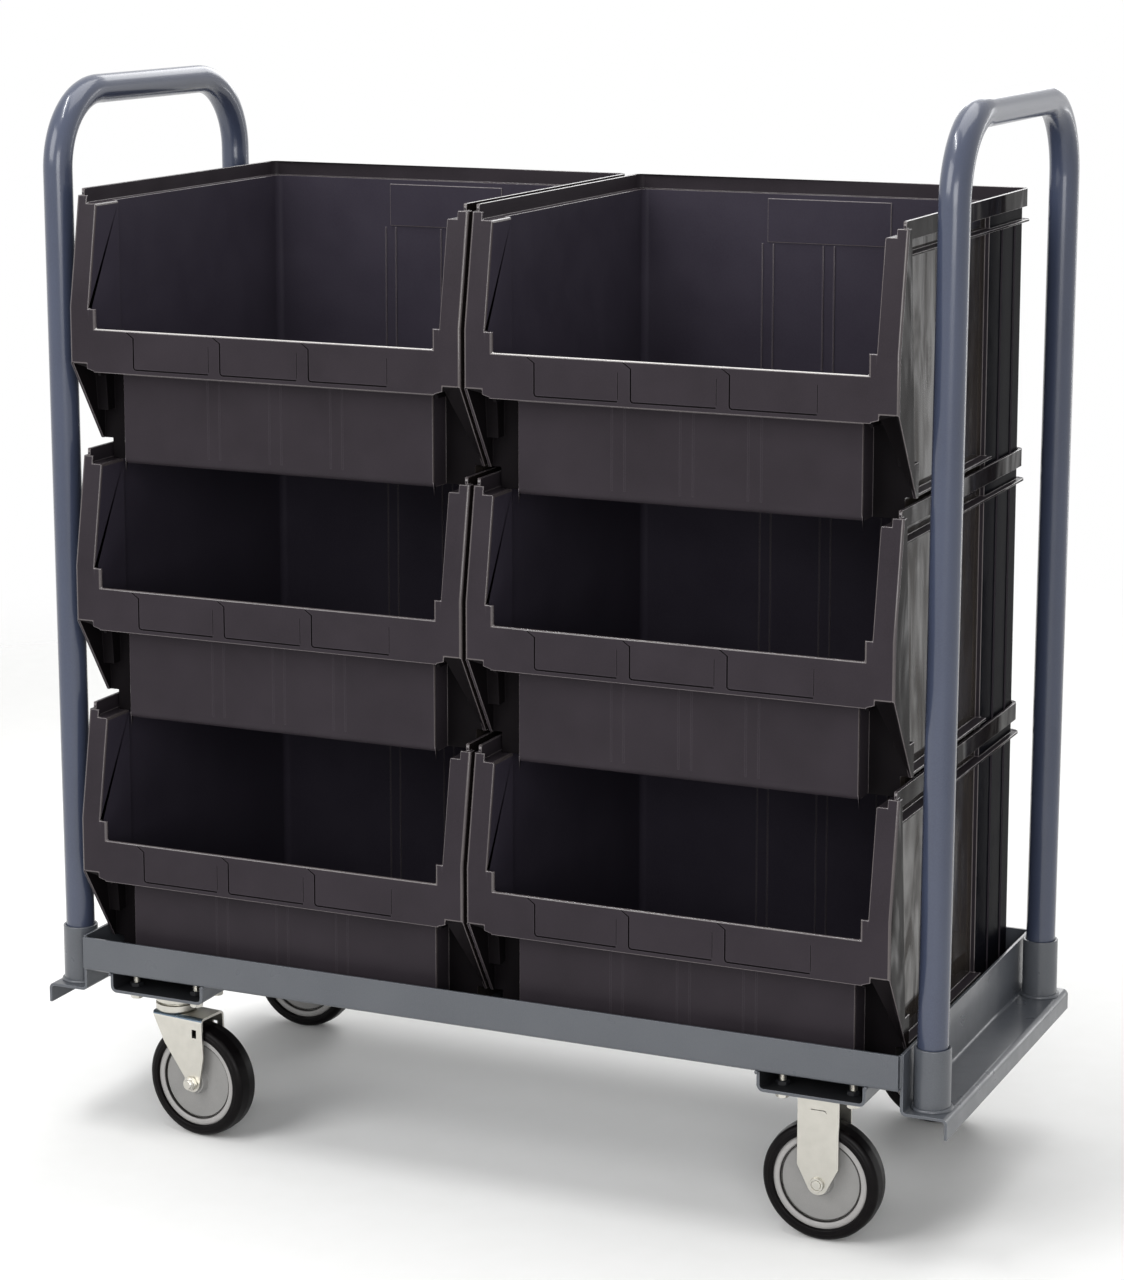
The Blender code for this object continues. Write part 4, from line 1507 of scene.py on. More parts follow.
@dataclass
class Caster(SubAssembly):
    """What both kinds of caster share: a pressed plate, two legs, an axle and four bolts."""

    side: Side
    end: End
    plate: Point = (92.0 * MM, 60.0 * MM)
    plate_thickness: float = 3.5 * MM
    plate_corner: float = 8.0 * MM
    plate_bottom: float = 158.2 * MM
    bolt_spacing: Point = (76.2 * MM, 44.5 * MM)
    fork_inner: float = 18.2 * MM
    fork_sheet: float = 2.8 * MM
    fork_bend: float = 3.0 * MM
    axle_radius: float = 4.7 * MM
    axle_height: float = 63.5 * MM
    leg_end: float = 10.5 * MM
    bolt_radius: float = 4.0 * MM
    hexagon: float = 7.5 * MM
    washer_face: float = 0.7 * MM
    nut_height: float = 4.5 * MM
    reach: float = 80.0 * MM
    gap: float = 0.3 * MM
    edge: float = 0.35 * MM

    @property
    def prefix(self) -> str:
        """The caster's name in the frame."""
        return f"{self.side.label}_{self.end.label}"

    @property
    def axle_end(self) -> float:
        """How far the outside of a leg lies from the wheel's middle."""
        return self.fork_inner + self.fork_sheet + self.gap

    def centre(self) -> Vector:
        """Where the caster's plate is centred.

        Returns:
            The place below it on the floor.
        """
        low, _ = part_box(f"{self.prefix}_bolt_1")
        _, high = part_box(f"{self.prefix}_bolt_4")
        return Vector(((low.x + high.x) / 2, (low.y + high.y) / 2, 0.0))

    def add_zinc(self, part: str, kind: str, mesh: Mesh, body: str = "base") -> None:
        """Put a zinc-plated piece in place of one solid.

        Args:
            part: The solid's name after the caster's.
            kind: The word that the piece's name ends with.
            mesh: Its mesh, whose material 1, if it has one, is the painted dark reflection on a bend.
            body: The body that it moves with.
        """
        node = f"{self.prefix}_{part}"
        finish = self.palette.zinc
        if len(mesh.materials) > 1:
            finish = (self.palette.zinc, self.palette.zinc_bend)
        self.add_piece(f"{node}_{kind}", mesh, finish, body, "zinc_steel", node)

    def plate_mesh(self, centre_hole: float = 0.0) -> Mesh:
        """The plate with its bolt holes.

        Args:
            centre_hole: The radius of a hole in its middle, or 0 for none.

        Returns:
            The plate, centred on the origin.
        """
        top = self.plate_bottom + self.plate_thickness
        outline = rounded_rectangle(self.plate[0] / 2, self.plate[1] / 2, self.plate_corner)
        plate = prism(outline, Axis.Z, self.plate_bottom, top)
        half_x = self.bolt_spacing[0] / 2
        half_y = self.bolt_spacing[1] / 2
        corners = ((-half_x, -half_y), (-half_x, half_y), (half_x, -half_y), (half_x, half_y))
        outlines = [circle(BOLT_HOLE, 24, corner) for corner in corners]
        if centre_hole:
            outlines.append(circle(centre_hole, 32))
        holes = [prism(hole, Axis.Z, top - 0.02, top + 0.01) for hole in outlines]
        return combine(plate, cuts=holes)

    def leg_pair(self, outline: Outline, crown_top: float) -> Mesh:
        """A sheet bent down on both sides of the wheel, its legs cut to an outline.

        Args:
            outline: The legs' outline in X and Z.
            crown_top: The height of the sheet's top.

        Returns:
            The bent sheet.
        """
        half = self.fork_sheet / 2
        reach = self.fork_inner + half
        crown = crown_top - half
        path = [(-reach, 0.02), (-reach, crown), (reach, crown), (reach, 0.02)]
        section = bent_strip(path, self.fork_sheet, self.fork_bend)
        bent = prism(section, Axis.X, -self.reach, self.reach)
        shape = prism(outline, Axis.Y, -self.reach, self.reach)
        return combine(bent, keeps=(shape,))

    def bends_marked(self, mesh: Mesh, crown_top: float) -> Mesh:
        """Give the faces of the long bends material 1, their painted dark reflection.

        Args:
            mesh: The pressing, centred on the caster.
            crown_top: The height of the sheet's top.

        Returns:
            The same mesh.
        """

        def on_bend(face: MeshPolygon) -> bool:
            """Whether a face looks neither up nor aside and lies by one of the bends.

            Args:
                face: A face of the pressing.

            Returns:
                Whether it is on a bend.
            """
            near_top = crown_top - 1.3 * self.fork_bend < face.center.z < crown_top
            beside = abs(face.center.y) > self.fork_inner - self.fork_sheet
            return near_top and beside and 0.12 < face.normal.z < 0.985

        return numbered(mesh, 2, on_bend)

    def axle_hole(self, x: float) -> Mesh:
        """A cutter for the axle's holes in both legs."""
        hole = circle(self.axle_radius + 0.4 * MM, 28, (x, self.axle_height))
        return prism(hole, Axis.Y, -self.reach, self.reach)

    def build_bolts(self) -> None:
        """Replace the four bolts by ones with chamfered heads, washer faces and threads."""
        head_top = self.plate_bottom - self.gap
        head_low = head_top - self.washer_face + 0.1 * MM
        nut_low = self.plate_bottom + self.plate_thickness + CHANNEL_SHEET + 2 * self.gap
        nut_top = nut_low + self.nut_height
        washer_radius = self.hexagon - 0.3 * MM
        washer = [(washer_radius, head_top - self.washer_face), (washer_radius, head_top)]

        def on_nut(face: MeshPolygon) -> bool:
            """Whether a face is the nut's and not the thread's.

            Args:
                face: A face of the bolt or its nut.

            Returns:
                Whether the nut has it.
            """
            level = nut_low - 0.1 * MM < face.center.z < nut_top + 0.1 * MM
            outer = face.center.to_2d().length > self.bolt_radius + NEAR or abs(face.normal.z) > 0.9
            return level and outer

        # The nut is taken as the channel's weld nut and gets its near-black painted shade; the bolt keeps
        # its zinc
        finishes = (self.palette.zinc, self.palette.frame_hollow)
        for number in range(1, 5):
            name = f"{self.prefix}_bolt_{number}"
            low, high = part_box(name)
            middle = (low + high) / 2
            parts = [
                hex_head(self.hexagon, low.z, head_low, Axis.Z),
                turned(washer, 32, Axis.Z, solid=True),
                hex_head(self.hexagon, nut_low, nut_top, Axis.Z, both_ends=True),
                threaded(self.bolt_radius, head_top - 1.0 * MM, high.z, Axis.Z),
            ]
            mesh = numbered(smooth(merged(parts)), 2, on_nut)
            mesh = placed(mesh, (middle.x, middle.y, 0.0), math.radians(17 * number))
            self.add_piece(f"{name}_hex", mesh, finishes, "base", "zinc_steel", name)


@dataclass
class SwivelCaster(Caster):
    """A caster that turns on its kingpin, its wheel trailing behind it."""

    turn: float = 0.0
    trail: float = 34.0 * MM
    crown_top: float = 138.5 * MM
    crown_front: float = 19.0 * MM
    crown_rear: float = 47.5 * MM
    kingpin_radius: float = 6.0 * MM
    kingpin_hole: float = 6.6 * MM
    kingpin_hexagon: float = 10.5 * MM
    axle_shank: float = 4.65 * MM
    axle_hexagon: float = 8.1 * MM
    slot_low: Point = (35.0 * MM, 115.5 * MM)
    slot_high: Point = (41.0 * MM, 125.0 * MM)
    race_radius: float = 23.5 * MM

    def build(self) -> None:
        """Build every piece of the caster."""
        centre = self.centre()
        plate = smooth(rounded(self.plate_mesh(self.kingpin_hole), self.edge))
        self.add_zinc("top_plate", "pressed", placed(plate, centre))
        self.add_zinc("swivel_race", "cups", placed(self.race(), centre))
        parts = {
            "fork": self.bends_marked(self.fork(), self.crown_top),
            "kingpin": self.kingpin(),
            "axle": self.axle(),
            "axle_nut": self.axle_nut(),
        }
        for part, mesh in parts.items():
            self.add_zinc(part, "zinc", placed(mesh, centre, self.turn), f"{self.prefix}_swivel")
        self.build_bolts()
        Wheel(self.palette, self.prefix, self.turn).build()

    def race(self) -> Mesh:
        """Two pressed cups with the line of the balls between them.

        Returns:
            The cups, centred on the kingpin.
        """
        low = self.crown_top + self.gap
        high = self.plate_bottom - self.gap
        middle = (low + high) / 2
        outer = self.race_radius
        profile = [(self.kingpin_hole, low), (outer - 2.4 * MM, low)]
        profile += arc((outer - 2.6 * MM, low + 2.6 * MM), 2.6 * MM, -80, 0, 5)
        profile += [(outer, middle - 1.6 * MM), (outer - 1.0 * MM, middle - 1.0 * MM)]
        profile += [(outer - 3.6 * MM, middle - 0.8 * MM), (outer - 3.6 * MM, middle + 0.8 * MM)]
        profile += [(outer - 0.8 * MM, middle + 1.0 * MM), (outer, middle + 1.8 * MM)]
        profile += arc((outer - 2.6 * MM, high - 2.6 * MM), 2.6 * MM, 0, 80, 5)
        profile += [(outer - 2.4 * MM, high), (self.kingpin_hole, high)]
        return smooth(turned(profile, 64, Axis.Z))

    def fork(self) -> Mesh:
        """The fork with its tapered legs, the slot behind the wheel's top and a raised crown.

        Returns:
            The fork, centred on the kingpin, its wheel towards +X.
        """
        over = self.crown_top + 0.01
        outline = [
            (-self.crown_front, over),
            (-self.crown_front, self.crown_top - 1.5 * MM),
            (-3.0 * MM, 104.5 * MM),
            (self.trail - 9.5 * MM, self.axle_height + 4.5 * MM),
        ]
        outline += arc((self.trail, self.axle_height), self.leg_end, 180, 360, 24)
        outline += [(self.crown_rear + 2.5 * MM, 95.0 * MM), (self.crown_rear, over)]
        fork = self.leg_pair(outline, self.crown_top)
        pin_hole = prism(circle(self.kingpin_hole, 32), Axis.Z, self.crown_top - 0.02, over)
        low = (self.slot_low[0], -self.reach, self.slot_low[1])
        high = (self.slot_high[0], self.reach, self.slot_high[1])
        slot = block(low, high)
        fork = combine(fork, cuts=(pin_hole, self.axle_hole(self.trail), slot))
        return smooth(rounded(fork, self.edge))

    def kingpin(self) -> Mesh:
        """The kingpin with its hexagon head inside the fork and a riveted top.

        Returns:
            The kingpin.
        """
        head_top = self.crown_top - self.fork_sheet - self.gap
        pin_top = self.plate_bottom + self.plate_thickness - 2 * self.gap
        radius = self.kingpin_radius
        profile = [(radius - 0.6 * MM, head_top - 4.0 * MM), (radius, head_top - 3.0 * MM)]
        profile += [(radius, pin_top - 1.0 * MM), (radius - 1.0 * MM, pin_top)]
        head = hex_head(self.kingpin_hexagon, head_top - 6.0 * MM, head_top, Axis.Z)
        return smooth(merged((turned(profile, 32, Axis.Z, solid=True), head)))

    def at_axle(self, parts: Sequence[Mesh]) -> Mesh:
        """Merge parts made round Y and move them to the axle."""
        return smooth(placed(merged(parts), (self.trail, 0.0, self.axle_height)))

    def axle(self) -> Mesh:
        """The axle bolt: a hexagon head at the back and a thread at the front.

        Returns:
            The bolt, on its axle.
        """
        outer = self.axle_end
        head = hex_head(self.axle_hexagon, outer, outer + 5.0 * MM, Axis.Y, both_ends=True)
        front = -outer + 1.0 * MM
        line = [(self.axle_shank, front), (self.axle_shank, outer + 1.0 * MM)]
        shank = turned(line, 32, Axis.Y, solid=True)
        thread = threaded(4.6 * MM, -outer - 8.5 * MM, front + 0.5 * MM, Axis.Y)
        return self.at_axle((head, shank, thread))

    def axle_nut(self) -> Mesh:
        """The lock nut: a hexagon with a smooth collar in front.

        Returns:
            The nut, on its axle.
        """
        outer = -self.axle_end
        bore = self.axle_radius + self.gap
        cutter = prism(circle(bore, 32), Axis.Y, -self.reach, 0.0)
        hexagon = hex_head(self.axle_hexagon, outer - 5.0 * MM, outer, Axis.Y, both_ends=True)
        collar = [(bore, outer - 7.0 * MM), (6.0 * MM, outer - 7.0 * MM)]
        collar += arc((6.0 * MM, outer - 6.4 * MM), 0.6 * MM, -90, 0, 4)
        collar += [(6.8 * MM, outer - 4.5 * MM), (bore, outer - 4.5 * MM)]
        return self.at_axle((combine(hexagon, cuts=(cutter,)), turned(collar, 40, Axis.Y)))


@dataclass
class RigidCaster(Caster):
    """A caster whose wheel always rolls along the cart."""

    leg_width: float = 44.5 * MM
    taper_start: float = 82.0 * MM

    def build(self) -> None:
        """Build every piece of the caster."""
        centre = self.centre()
        self.add_zinc("bracket", "pressed", placed(self.bracket(), centre))
        raised = centre + Vector((0.0, 0.0, self.axle_height))
        self.add_zinc("axle", "rivet", placed(self.rivet(), raised))
        self.build_bolts()
        Wheel(self.palette, self.prefix).build()

    def bracket(self) -> Mesh:
        """Top plate and two legs in one pressing, with a lanced slit across each leg.

        Returns:
            The bracket, centred over its wheel.
        """
        over = self.plate_bottom + 0.01
        half = self.leg_width / 2
        outline = [(half, over), (-half, over), (-half, self.taper_start)]
        outline += arc((0.0, self.axle_height), self.leg_end + 1.0 * MM, 200, 340, 24)
        outline += [(half, self.taper_start)]
        legs = self.leg_pair(outline, self.plate_bottom + 1.0 * MM)
        slit = prism(self.slit_outline(), Axis.Y, -self.reach, self.reach)
        cuts = (self.axle_hole(0.0), slit)
        whole = combine(self.plate_mesh(), joins=(legs,), cuts=cuts)
        return smooth(rounded(whole, self.edge))

    def slit_outline(self) -> Outline:
        """The lanced slit: a thin line across the leg that drops at its right end.

        Returns:
            Its outline in X and Z.
        """
        left = -8.5 * MM
        height = 143.0 * MM
        line = 0.9 * MM
        upper = [(left, height), (6.5 * MM, height)]
        upper += [(8.5 * MM, height - 1.0 * MM), (9.0 * MM, height - 3.0 * MM)]
        lower = [(x - line * 0.6, z - line) for x, z in upper]
        lower[0] = (left, height - line)
        return upper + lower[::-1]

    def rivet(self) -> Mesh:
        """The axle: a pin whose ends are spun over into flat heads with a sunk ring.

        Returns:
            The axle, its middle on the origin.
        """
        outer = self.axle_end
        head = in_mm((4.65, 0.0), (7.2, 0.0), (7.5, 0.5), (7.5, 2.0), (6.9, 3.0), (5.9, 3.0), (5.4, 1.8))
        head += in_mm((4.9, 1.8), (4.4, 3.2), (3.6, 3.5))
        side = [(radius, outer + along) for radius, along in head]
        return smooth(turned(mirrored(side) + side, 48, Axis.Y, solid=True))


@dataclass
class BinMould(SubAssembly):
    """The stacking bin, made once in its own frame: base on Z = 0, open front towards -Y."""

    wall: float = 3.5 * MM
    half_width: float = 232.5 * MM
    height: float = 298.0 * MM
    ledge_height: float = 282.2 * MM
    front: float = -236.5 * MM
    top_front: float = -214.0 * MM
    chin: float = 106.0 * MM
    chin_start: Point = (203.5 * MM, 104.0 * MM)
    chin_end_height: float = 111.5 * MM
    lip: float = 150.0 * MM
    lean_start: float = 172.0 * MM
    wing_tip: float = 22.0 * MM
    wing_corner: float = 112.6 * MM
    wing_back: float = -175.0 * MM
    strip_top_rear: float = -205.7 * MM
    strip_foot_rear: float = -185.0 * MM
    foot_top: float = 58.0 * MM
    tab_inner: float = 220.5 * MM
    tab_top: float = 290.5 * MM
    wing_inner: float = 200.0 * MM
    wing_toe: float = 3.0 * MM
    nose_front: float = -205.5 * MM
    nose_half: float = 186.0 * MM
    nose_top: float = 100.0 * MM
    nose_radius: float = 8.0 * MM
    tub_half: float = 219.5 * MM
    tub_rear: float = 200.5 * MM
    tub_corner: float = 10.0 * MM
    corner_half: float = 224.5 * MM
    corner_start: float = 76.0 * MM
    corner_rear: float = 203.5 * MM
    rim_half: float = 229.0 * MM
    rim_front: float = -212.0 * MM
    rim_inner_front: float = -212.5 * MM
    rim_rear: float = 208.5 * MM
    rim_corner: float = 12.0 * MM
    fin_height: float = 262.5 * MM
    fin_thickness: float = 2.5 * MM
    mouth_half: float = 200.5 * MM
    mouth_top_half: float = 208.5 * MM
    pocket_inner: float = 212.0 * MM
    hopper_floor: float = 98.0 * MM
    hopper_floor_front: float = 103.0 * MM
    well_side_floor: float = 109.0 * MM
    label_lefts: tuple[float, ...] = (-154.5 * MM, -49.0 * MM, 56.5 * MM)
    label_width: float = 92.0 * MM
    label_top: float = 142.0 * MM
    label_bottom: float = 107.5 * MM
    groove_width: float = 1.6 * MM
    groove_depth: float = 1.9 * MM
    rib_centres: tuple[float, ...] = (-66.0 * MM, 5.5 * MM, 77.0 * MM)
    nose_marks: tuple[float, ...] = (-74.5 * MM, 0.0, 73.0 * MM)
    corner_ribs: tuple[float, ...] = (121.0 * MM, 167.0 * MM)
    edge: float = 0.8 * MM
    short_edge: float = 0.3 * MM
    lip_edge: float = 1.7 * MM
    upright_edge: float = 2.6 * MM
    well_edge: float = 3.0 * MM
    rim_edge: float = 4.5 * MM
    far: float = 300.0 * MM
    overlap: float = 20.0 * MM
    bite: float = 1.0 * MM

    def lean_at(self, height: float) -> float:
        """How far forward the face stands at a height above the base."""
        share = (height - self.lean_start) / (self.height - self.lean_start)
        return self.front + (self.top_front - self.front) * max(share, 0.0)

    def tray(self, half: float, front: float, rear: float, radius: float) -> Outline:
        """A plan with square front corners and rounded rear ones.

        Args:
            half: Half its width.
            front: Its front edge.
            rear: Its rear edge.
            radius: The rear corners' radius.

        Returns:
            The outline.
        """
        reach = half - radius
        outline = [(-half, front), (half, front)]
        outline += arc((reach, rear - radius), radius, 0, 90, 8)
        outline += arc((-reach, rear - radius), radius, 90, 180, 8)
        return outline

    def nose_outline(self, front: float, rear: float, low: float, high: float, radius: float) -> Outline:
        """The side view of the tub's front wall, with its lower front edge rounded.

        Args:
            front: Its front face.
            rear: Where it ends inside the tub.
            low: Its underside.
            high: Its top.
            radius: The lower front edge's radius.

        Returns:
            The outline in Y and Z.
        """
        outline = [(rear, high), (rear, low)]
        outline += arc((front + radius, low + radius), radius, 270, 180, 6)
        outline.append((front, high))
        return outline

    def solids(self) -> tuple[Mesh, list[Mesh]]:
        """The bin before it is hollowed.

        Returns:
            The tub, and the blocks that are joined to it.
        """
        rear = self.wing_back + self.overlap
        wing_rear = self.wing_back + self.wall
        fin_half = self.rim_half + 2.0 * MM
        fin_front = self.strip_top_rear + self.bite
        skid_front = wing_rear - self.bite
        skin_inner = self.wing_inner + self.bite
        tub = self.tray(self.tub_half, self.wing_back, self.tub_rear, self.tub_corner)
        corners = self.tray(self.corner_half, self.corner_start, self.corner_rear, self.tub_corner)
        rim = self.tray(self.rim_half, self.rim_front, self.rim_rear, self.rim_corner)
        fin = self.tray(fin_half, fin_front, self.rim_rear + 2.0 * MM, self.rim_corner)
        skid_low = (-fin_half, skid_front, self.wing_tip + 0.5 * MM)
        skid_high = (fin_half, self.corner_start + 4.0 * MM, self.wing_tip + 3.5 * MM)
        nose = self.nose_outline(self.nose_front, rear, 0.0, self.nose_top, self.nose_radius)
        hopper = [
            (rear, self.hopper_floor),
            (self.nose_front, self.hopper_floor),
            (self.front, self.hopper_floor_front),
            (self.front, self.lean_start),
            (self.lean_at(self.tab_top), self.tab_top),
            (rear, self.tab_top),
        ]
        wing = [
            (wing_rear, self.wing_tip),
            (self.wing_back - self.wing_toe, self.wing_tip),
            (self.front, self.wing_corner),
            (self.front, self.lean_start),
            (self.lean_at(self.tab_top), self.tab_top),
            (self.strip_top_rear, self.tab_top),
            (self.strip_foot_rear, self.foot_top),
            (wing_rear, self.foot_top),
        ]
        skin_bottom = self.foot_top - self.bite
        skin_top = self.ledge_height - 1.5 * self.bite
        skin = [
            (rear, skin_bottom),
            (self.strip_foot_rear - self.bite, skin_bottom),
            (self.strip_top_rear - self.bite, skin_top),
            (rear, skin_top),
        ]
        blocks = [
            prism(corners, Axis.Z, 0.0, self.ledge_height - 2 * self.bite),
            prism(nose, Axis.X, -self.nose_half, self.nose_half),
            prism(hopper, Axis.X, -self.pocket_inner, self.pocket_inner),
            prism(wing, Axis.X, self.wing_inner, self.half_width),
            prism(wing, Axis.X, -self.half_width, -self.wing_inner),
            prism(skin, Axis.X, skin_inner, self.tub_half),
            prism(skin, Axis.X, -self.tub_half, -skin_inner),
            prism(rim, Axis.Z, self.ledge_height - self.wall, self.height),
            prism(fin, Axis.Z, self.fin_height, self.fin_height + self.fin_thickness),
            block(skid_low, skid_high),
        ]
        return prism(tub, Axis.Z, 0.0, self.ledge_height - self.bite), blocks

    def hollows(self) -> list[Mesh]:
        """What the mould leaves out, so that the bin is one thin wall.

        Returns:
            The cutters.
        """
        over = self.height + 50.0 * MM
        under = -20.0 * MM
        rear = self.wing_back + 1.5 * self.overlap
        wall = self.wall
        inner_corner = self.tub_corner - 2.0 * MM
        cavity = self.tray(self.tub_half - wall, self.wing_back + wall, self.tub_rear - wall, inner_corner)
        rim_corner = self.rim_corner - 3.0 * MM
        rim = self.tray(self.rim_half - wall, self.rim_inner_front, self.rim_rear - wall, rim_corner)
        nose_top = self.nose_top + self.overlap
        nose_radius = self.nose_radius - 3.0 * MM
        nose = self.nose_outline(self.nose_front + wall, rear, wall, nose_top, nose_radius)
        nose_reach = self.nose_half - wall
        mouth = [
            (rear, self.hopper_floor + wall),
            (self.nose_front + 2.0 * MM, self.hopper_floor + wall),
            (self.front + wall, self.hopper_floor_front + wall),
            (self.front + wall, self.lip),
            (-self.far, self.lip),
            (-self.far, self.lean_start),
            (rear, self.lean_start),
        ]
        pocket_top = self.ledge_height - wall
        pocket = [
            (self.wing_back, under),
            (-self.far, under),
            (-self.far, self.chin),
            (self.front + wall, self.chin),
            (self.front + wall, self.lean_start),
            (self.lean_at(pocket_top) + wall, pocket_top),
            (self.strip_top_rear - wall, pocket_top),
            (self.strip_foot_rear - wall, self.foot_top - wall),
            (self.wing_back, self.foot_top - wall),
        ]
        pocket_outer = self.half_width - wall
        low_inner = self.nose_half + 4.0 * MM
        chin_rear = self.nose_front - self.bite
        upper = self.mouth_top_half
        cuts = [
            prism(cavity, Axis.Z, wall, over),
            prism(nose, Axis.X, -nose_reach, nose_reach),
            prism(mouth, Axis.X, -self.mouth_half, self.mouth_half),
            block((-upper, -self.far, self.lean_start - self.bite), (upper, rear, over)),
            block((-upper, self.front + wall, self.well_side_floor), (upper, rear, self.lean_start)),
            prism(rim, Axis.Z, self.ledge_height, over),
            block((-self.tab_inner, -self.far, self.ledge_height), (self.tab_inner, rear, over)),
        ]
        for side in Side:
            low, high = sorted((side.value * self.pocket_inner, side.value * pocket_outer))
            cuts.append(prism(pocket, Axis.X, low, high))
            low, high = sorted((side.value * low_inner, side.value * (self.tub_half - wall)))
            cuts.append(block((low, -self.far, under), (high, self.wing_back, self.hopper_floor)))
            chin = [
                (side.value * self.chin_start[0], under),
                (side.value * pocket_outer, under),
                (side.value * pocket_outer, self.chin_end_height),
                (side.value * self.chin_start[0], self.chin_start[1]),
            ]
            cuts.append(prism(chin, Axis.Y, -self.far, chin_rear))
        return cuts

    def edge_radius(self, start: Vector, stop: Vector) -> float:
        """How round an edge is, from where it runs.

        Args:
            start: One end of the edge.
            stop: The other end.

        Returns:
            The radius.
        """
        middle = (start + stop) / 2
        across = abs(middle.x)
        level = alike((start.z, stop.z))
        crosswise = level and alike((start.y, stop.y))
        if crosswise and middle.z > self.height - NEAR and alike((middle.y, self.rim_front)):
            return self.rim_edge
        if (stop - start).length < 3 * self.edge:
            return self.short_edge
        if level and alike((middle.z, self.ledge_height), (across, self.mouth_top_half)):
            return self.well_edge
        behind_face = self.lean_at(middle.z) + self.wall + NEAR
        if alike((start.z, self.lip), (stop.z, self.lip)) and middle.y < behind_face:
            return self.lip_edge
        on_face = alike((start.y, self.lean_at(start.z)), (stop.y, self.lean_at(stop.z)))
        on_nose = alike((start.y, self.nose_front), (stop.y, self.nose_front))
        of_face = on_face and (alike((across, self.half_width)) or across < self.pocket_inner)
        of_nose = on_nose and alike((across, self.nose_half))
        if abs(start.z - stop.z) > 10 * MM and (of_face or of_nose):
            return self.upright_edge
        return self.edge

    def label_lines(self) -> list[Mesh]:
        """The lines that frame the three label places on the lip.

        Returns:
            Their cutters.
        """
        cutters = []
        ahead = self.front - 10.0 * MM
        width = self.groove_width
        corner = 4.0 * MM
        top = self.lip - 1.6 * MM
        for left in self.label_lefts:
            slant = left - 9.0 * MM
            right = left + self.label_width
            bend = (left + corner, self.label_bottom + corner)
            outer = [(slant, top), (left, self.label_top)]
            outer += arc(bend, corner, 180, 270, 6)
            outer += [(right, self.label_bottom)]
            inner = [(slant + width * 1.2, top), (left + width, self.label_top + 0.4 * MM)]
            inner += arc(bend, corner - width, 180, 270, 6)
            inner += [(right, self.label_bottom + width)]
            cutters.append(prism(outer + inner[::-1], Axis.Y, ahead, self.front + self.groove_depth))
            low = (right, ahead, self.label_bottom + 3.0 * MM)
            high = (right + 0.8 * MM, self.front + 0.35 * MM, self.label_top - 4.0 * MM)
            cutters.append(block(low, high))
        return cutters

    def inner_details(self) -> list[Mesh]:
        """Raised panel and rib pairs on the inside of the rear wall.

        Returns:
            One mesh for each.
        """
        wall = self.tub_rear - self.wall
        raised = 1.6 * MM
        panel_low = (self.rib_centres[0] - 0.5 * MM, wall - raised, 228.0 * MM)
        panel_high = (self.rib_centres[2] + 0.5 * MM, wall + 1.0 * MM, 277.0 * MM)
        # The rounded edges of panel and ribs get the rubbed edges' painted highlight
        details = [rounded(block(panel_low, panel_high), 0.9 * MM, marked=BinFinish.RUBBED)]
        for centre in self.rib_centres:
            for x in (centre - 6.5 * MM, centre + 6.5 * MM):
                low = (x - 0.9 * MM, wall - raised, self.wall - 1.0 * MM)
                high = (x + 0.9 * MM, wall + 1.0 * MM, 226.5 * MM)
                details.append(rounded(block(low, high), 0.5 * MM, marked=BinFinish.RUBBED))
        return details

    def outer_details(self) -> list[Mesh]:
        """Ribs that stiffen the rear corners, and the faint lines of the ribs behind the nose.

        Returns:
            One mesh for each.
        """
        details = []
        for centre in self.nose_marks:
            for x in (centre - 7.0 * MM, centre + 7.0 * MM):
                low = (x - 0.8 * MM, self.nose_front - 0.25 * MM, 12.0 * MM)
                high = (x + 0.8 * MM, self.nose_front + 0.5 * MM, 97.0 * MM)
                details.append(rounded(block(low, high), 0.2 * MM))
        ends = (self.corner_half - 1.0 * MM, self.corner_half + 1.6 * MM)
        for side in Side:
            low_x, high_x = sorted(side.value * end for end in ends)
            for y in self.corner_ribs:
                low = (low_x, y - 0.9 * MM, 4.0 * MM)
                high = (high_x, y + 0.9 * MM, self.fin_height + 1.0 * MM)
                details.append(rounded(block(low, high), 0.5 * MM))
        return details

    def mesh(self) -> Mesh:
        """The whole bin, each face numbered by its finish.

        Returns:
            The bin, in its own frame.
        """
        tub, blocks = self.solids()
        solid = combine(tub, joins=blocks)
        hollow = combine(solid, cuts=self.hollows())
        # Every rounded edge gets the rubbed finish, whose pale colour is a painted highlight
        soft = rounded(hollow, self.rim_edge, 3, self.edge_radius, marked=BinFinish.RUBBED)
        lined = combine(soft, cuts=self.label_lines())
        whole = smooth(merged([lined, *self.inner_details(), *self.outer_details()]))
        whole = numbered(whole, len(BinFinish), self.finish_of)
        for finish in BinFinish:
            count = sum(face.material_index == finish for face in whole.polygons)
            log.info("bin: %d faces %s", count, finish.name)
        return whole

    def holds(self, point: Vector) -> bool:
        """Whether a point is in the hollow where goods lie.

        Args:
            point: A point in the bin's own frame.

        Returns:
            Whether the hollow holds it.
        """
        across = abs(point.x)
        in_tub = across < self.tub_half - self.wall and point.y > self.wing_back + self.wall
        in_nose = across < self.nose_half - self.wall and point.y > self.nose_front + self.wall
        over_chin = point.z > self.hopper_floor + self.wall and point.y > self.front + self.wall
        in_well = over_chin and across < self.mouth_top_half
        within = self.wall < point.z < self.ledge_height and point.y < self.tub_rear - self.wall
        return within and (in_tub or in_nose or in_well)

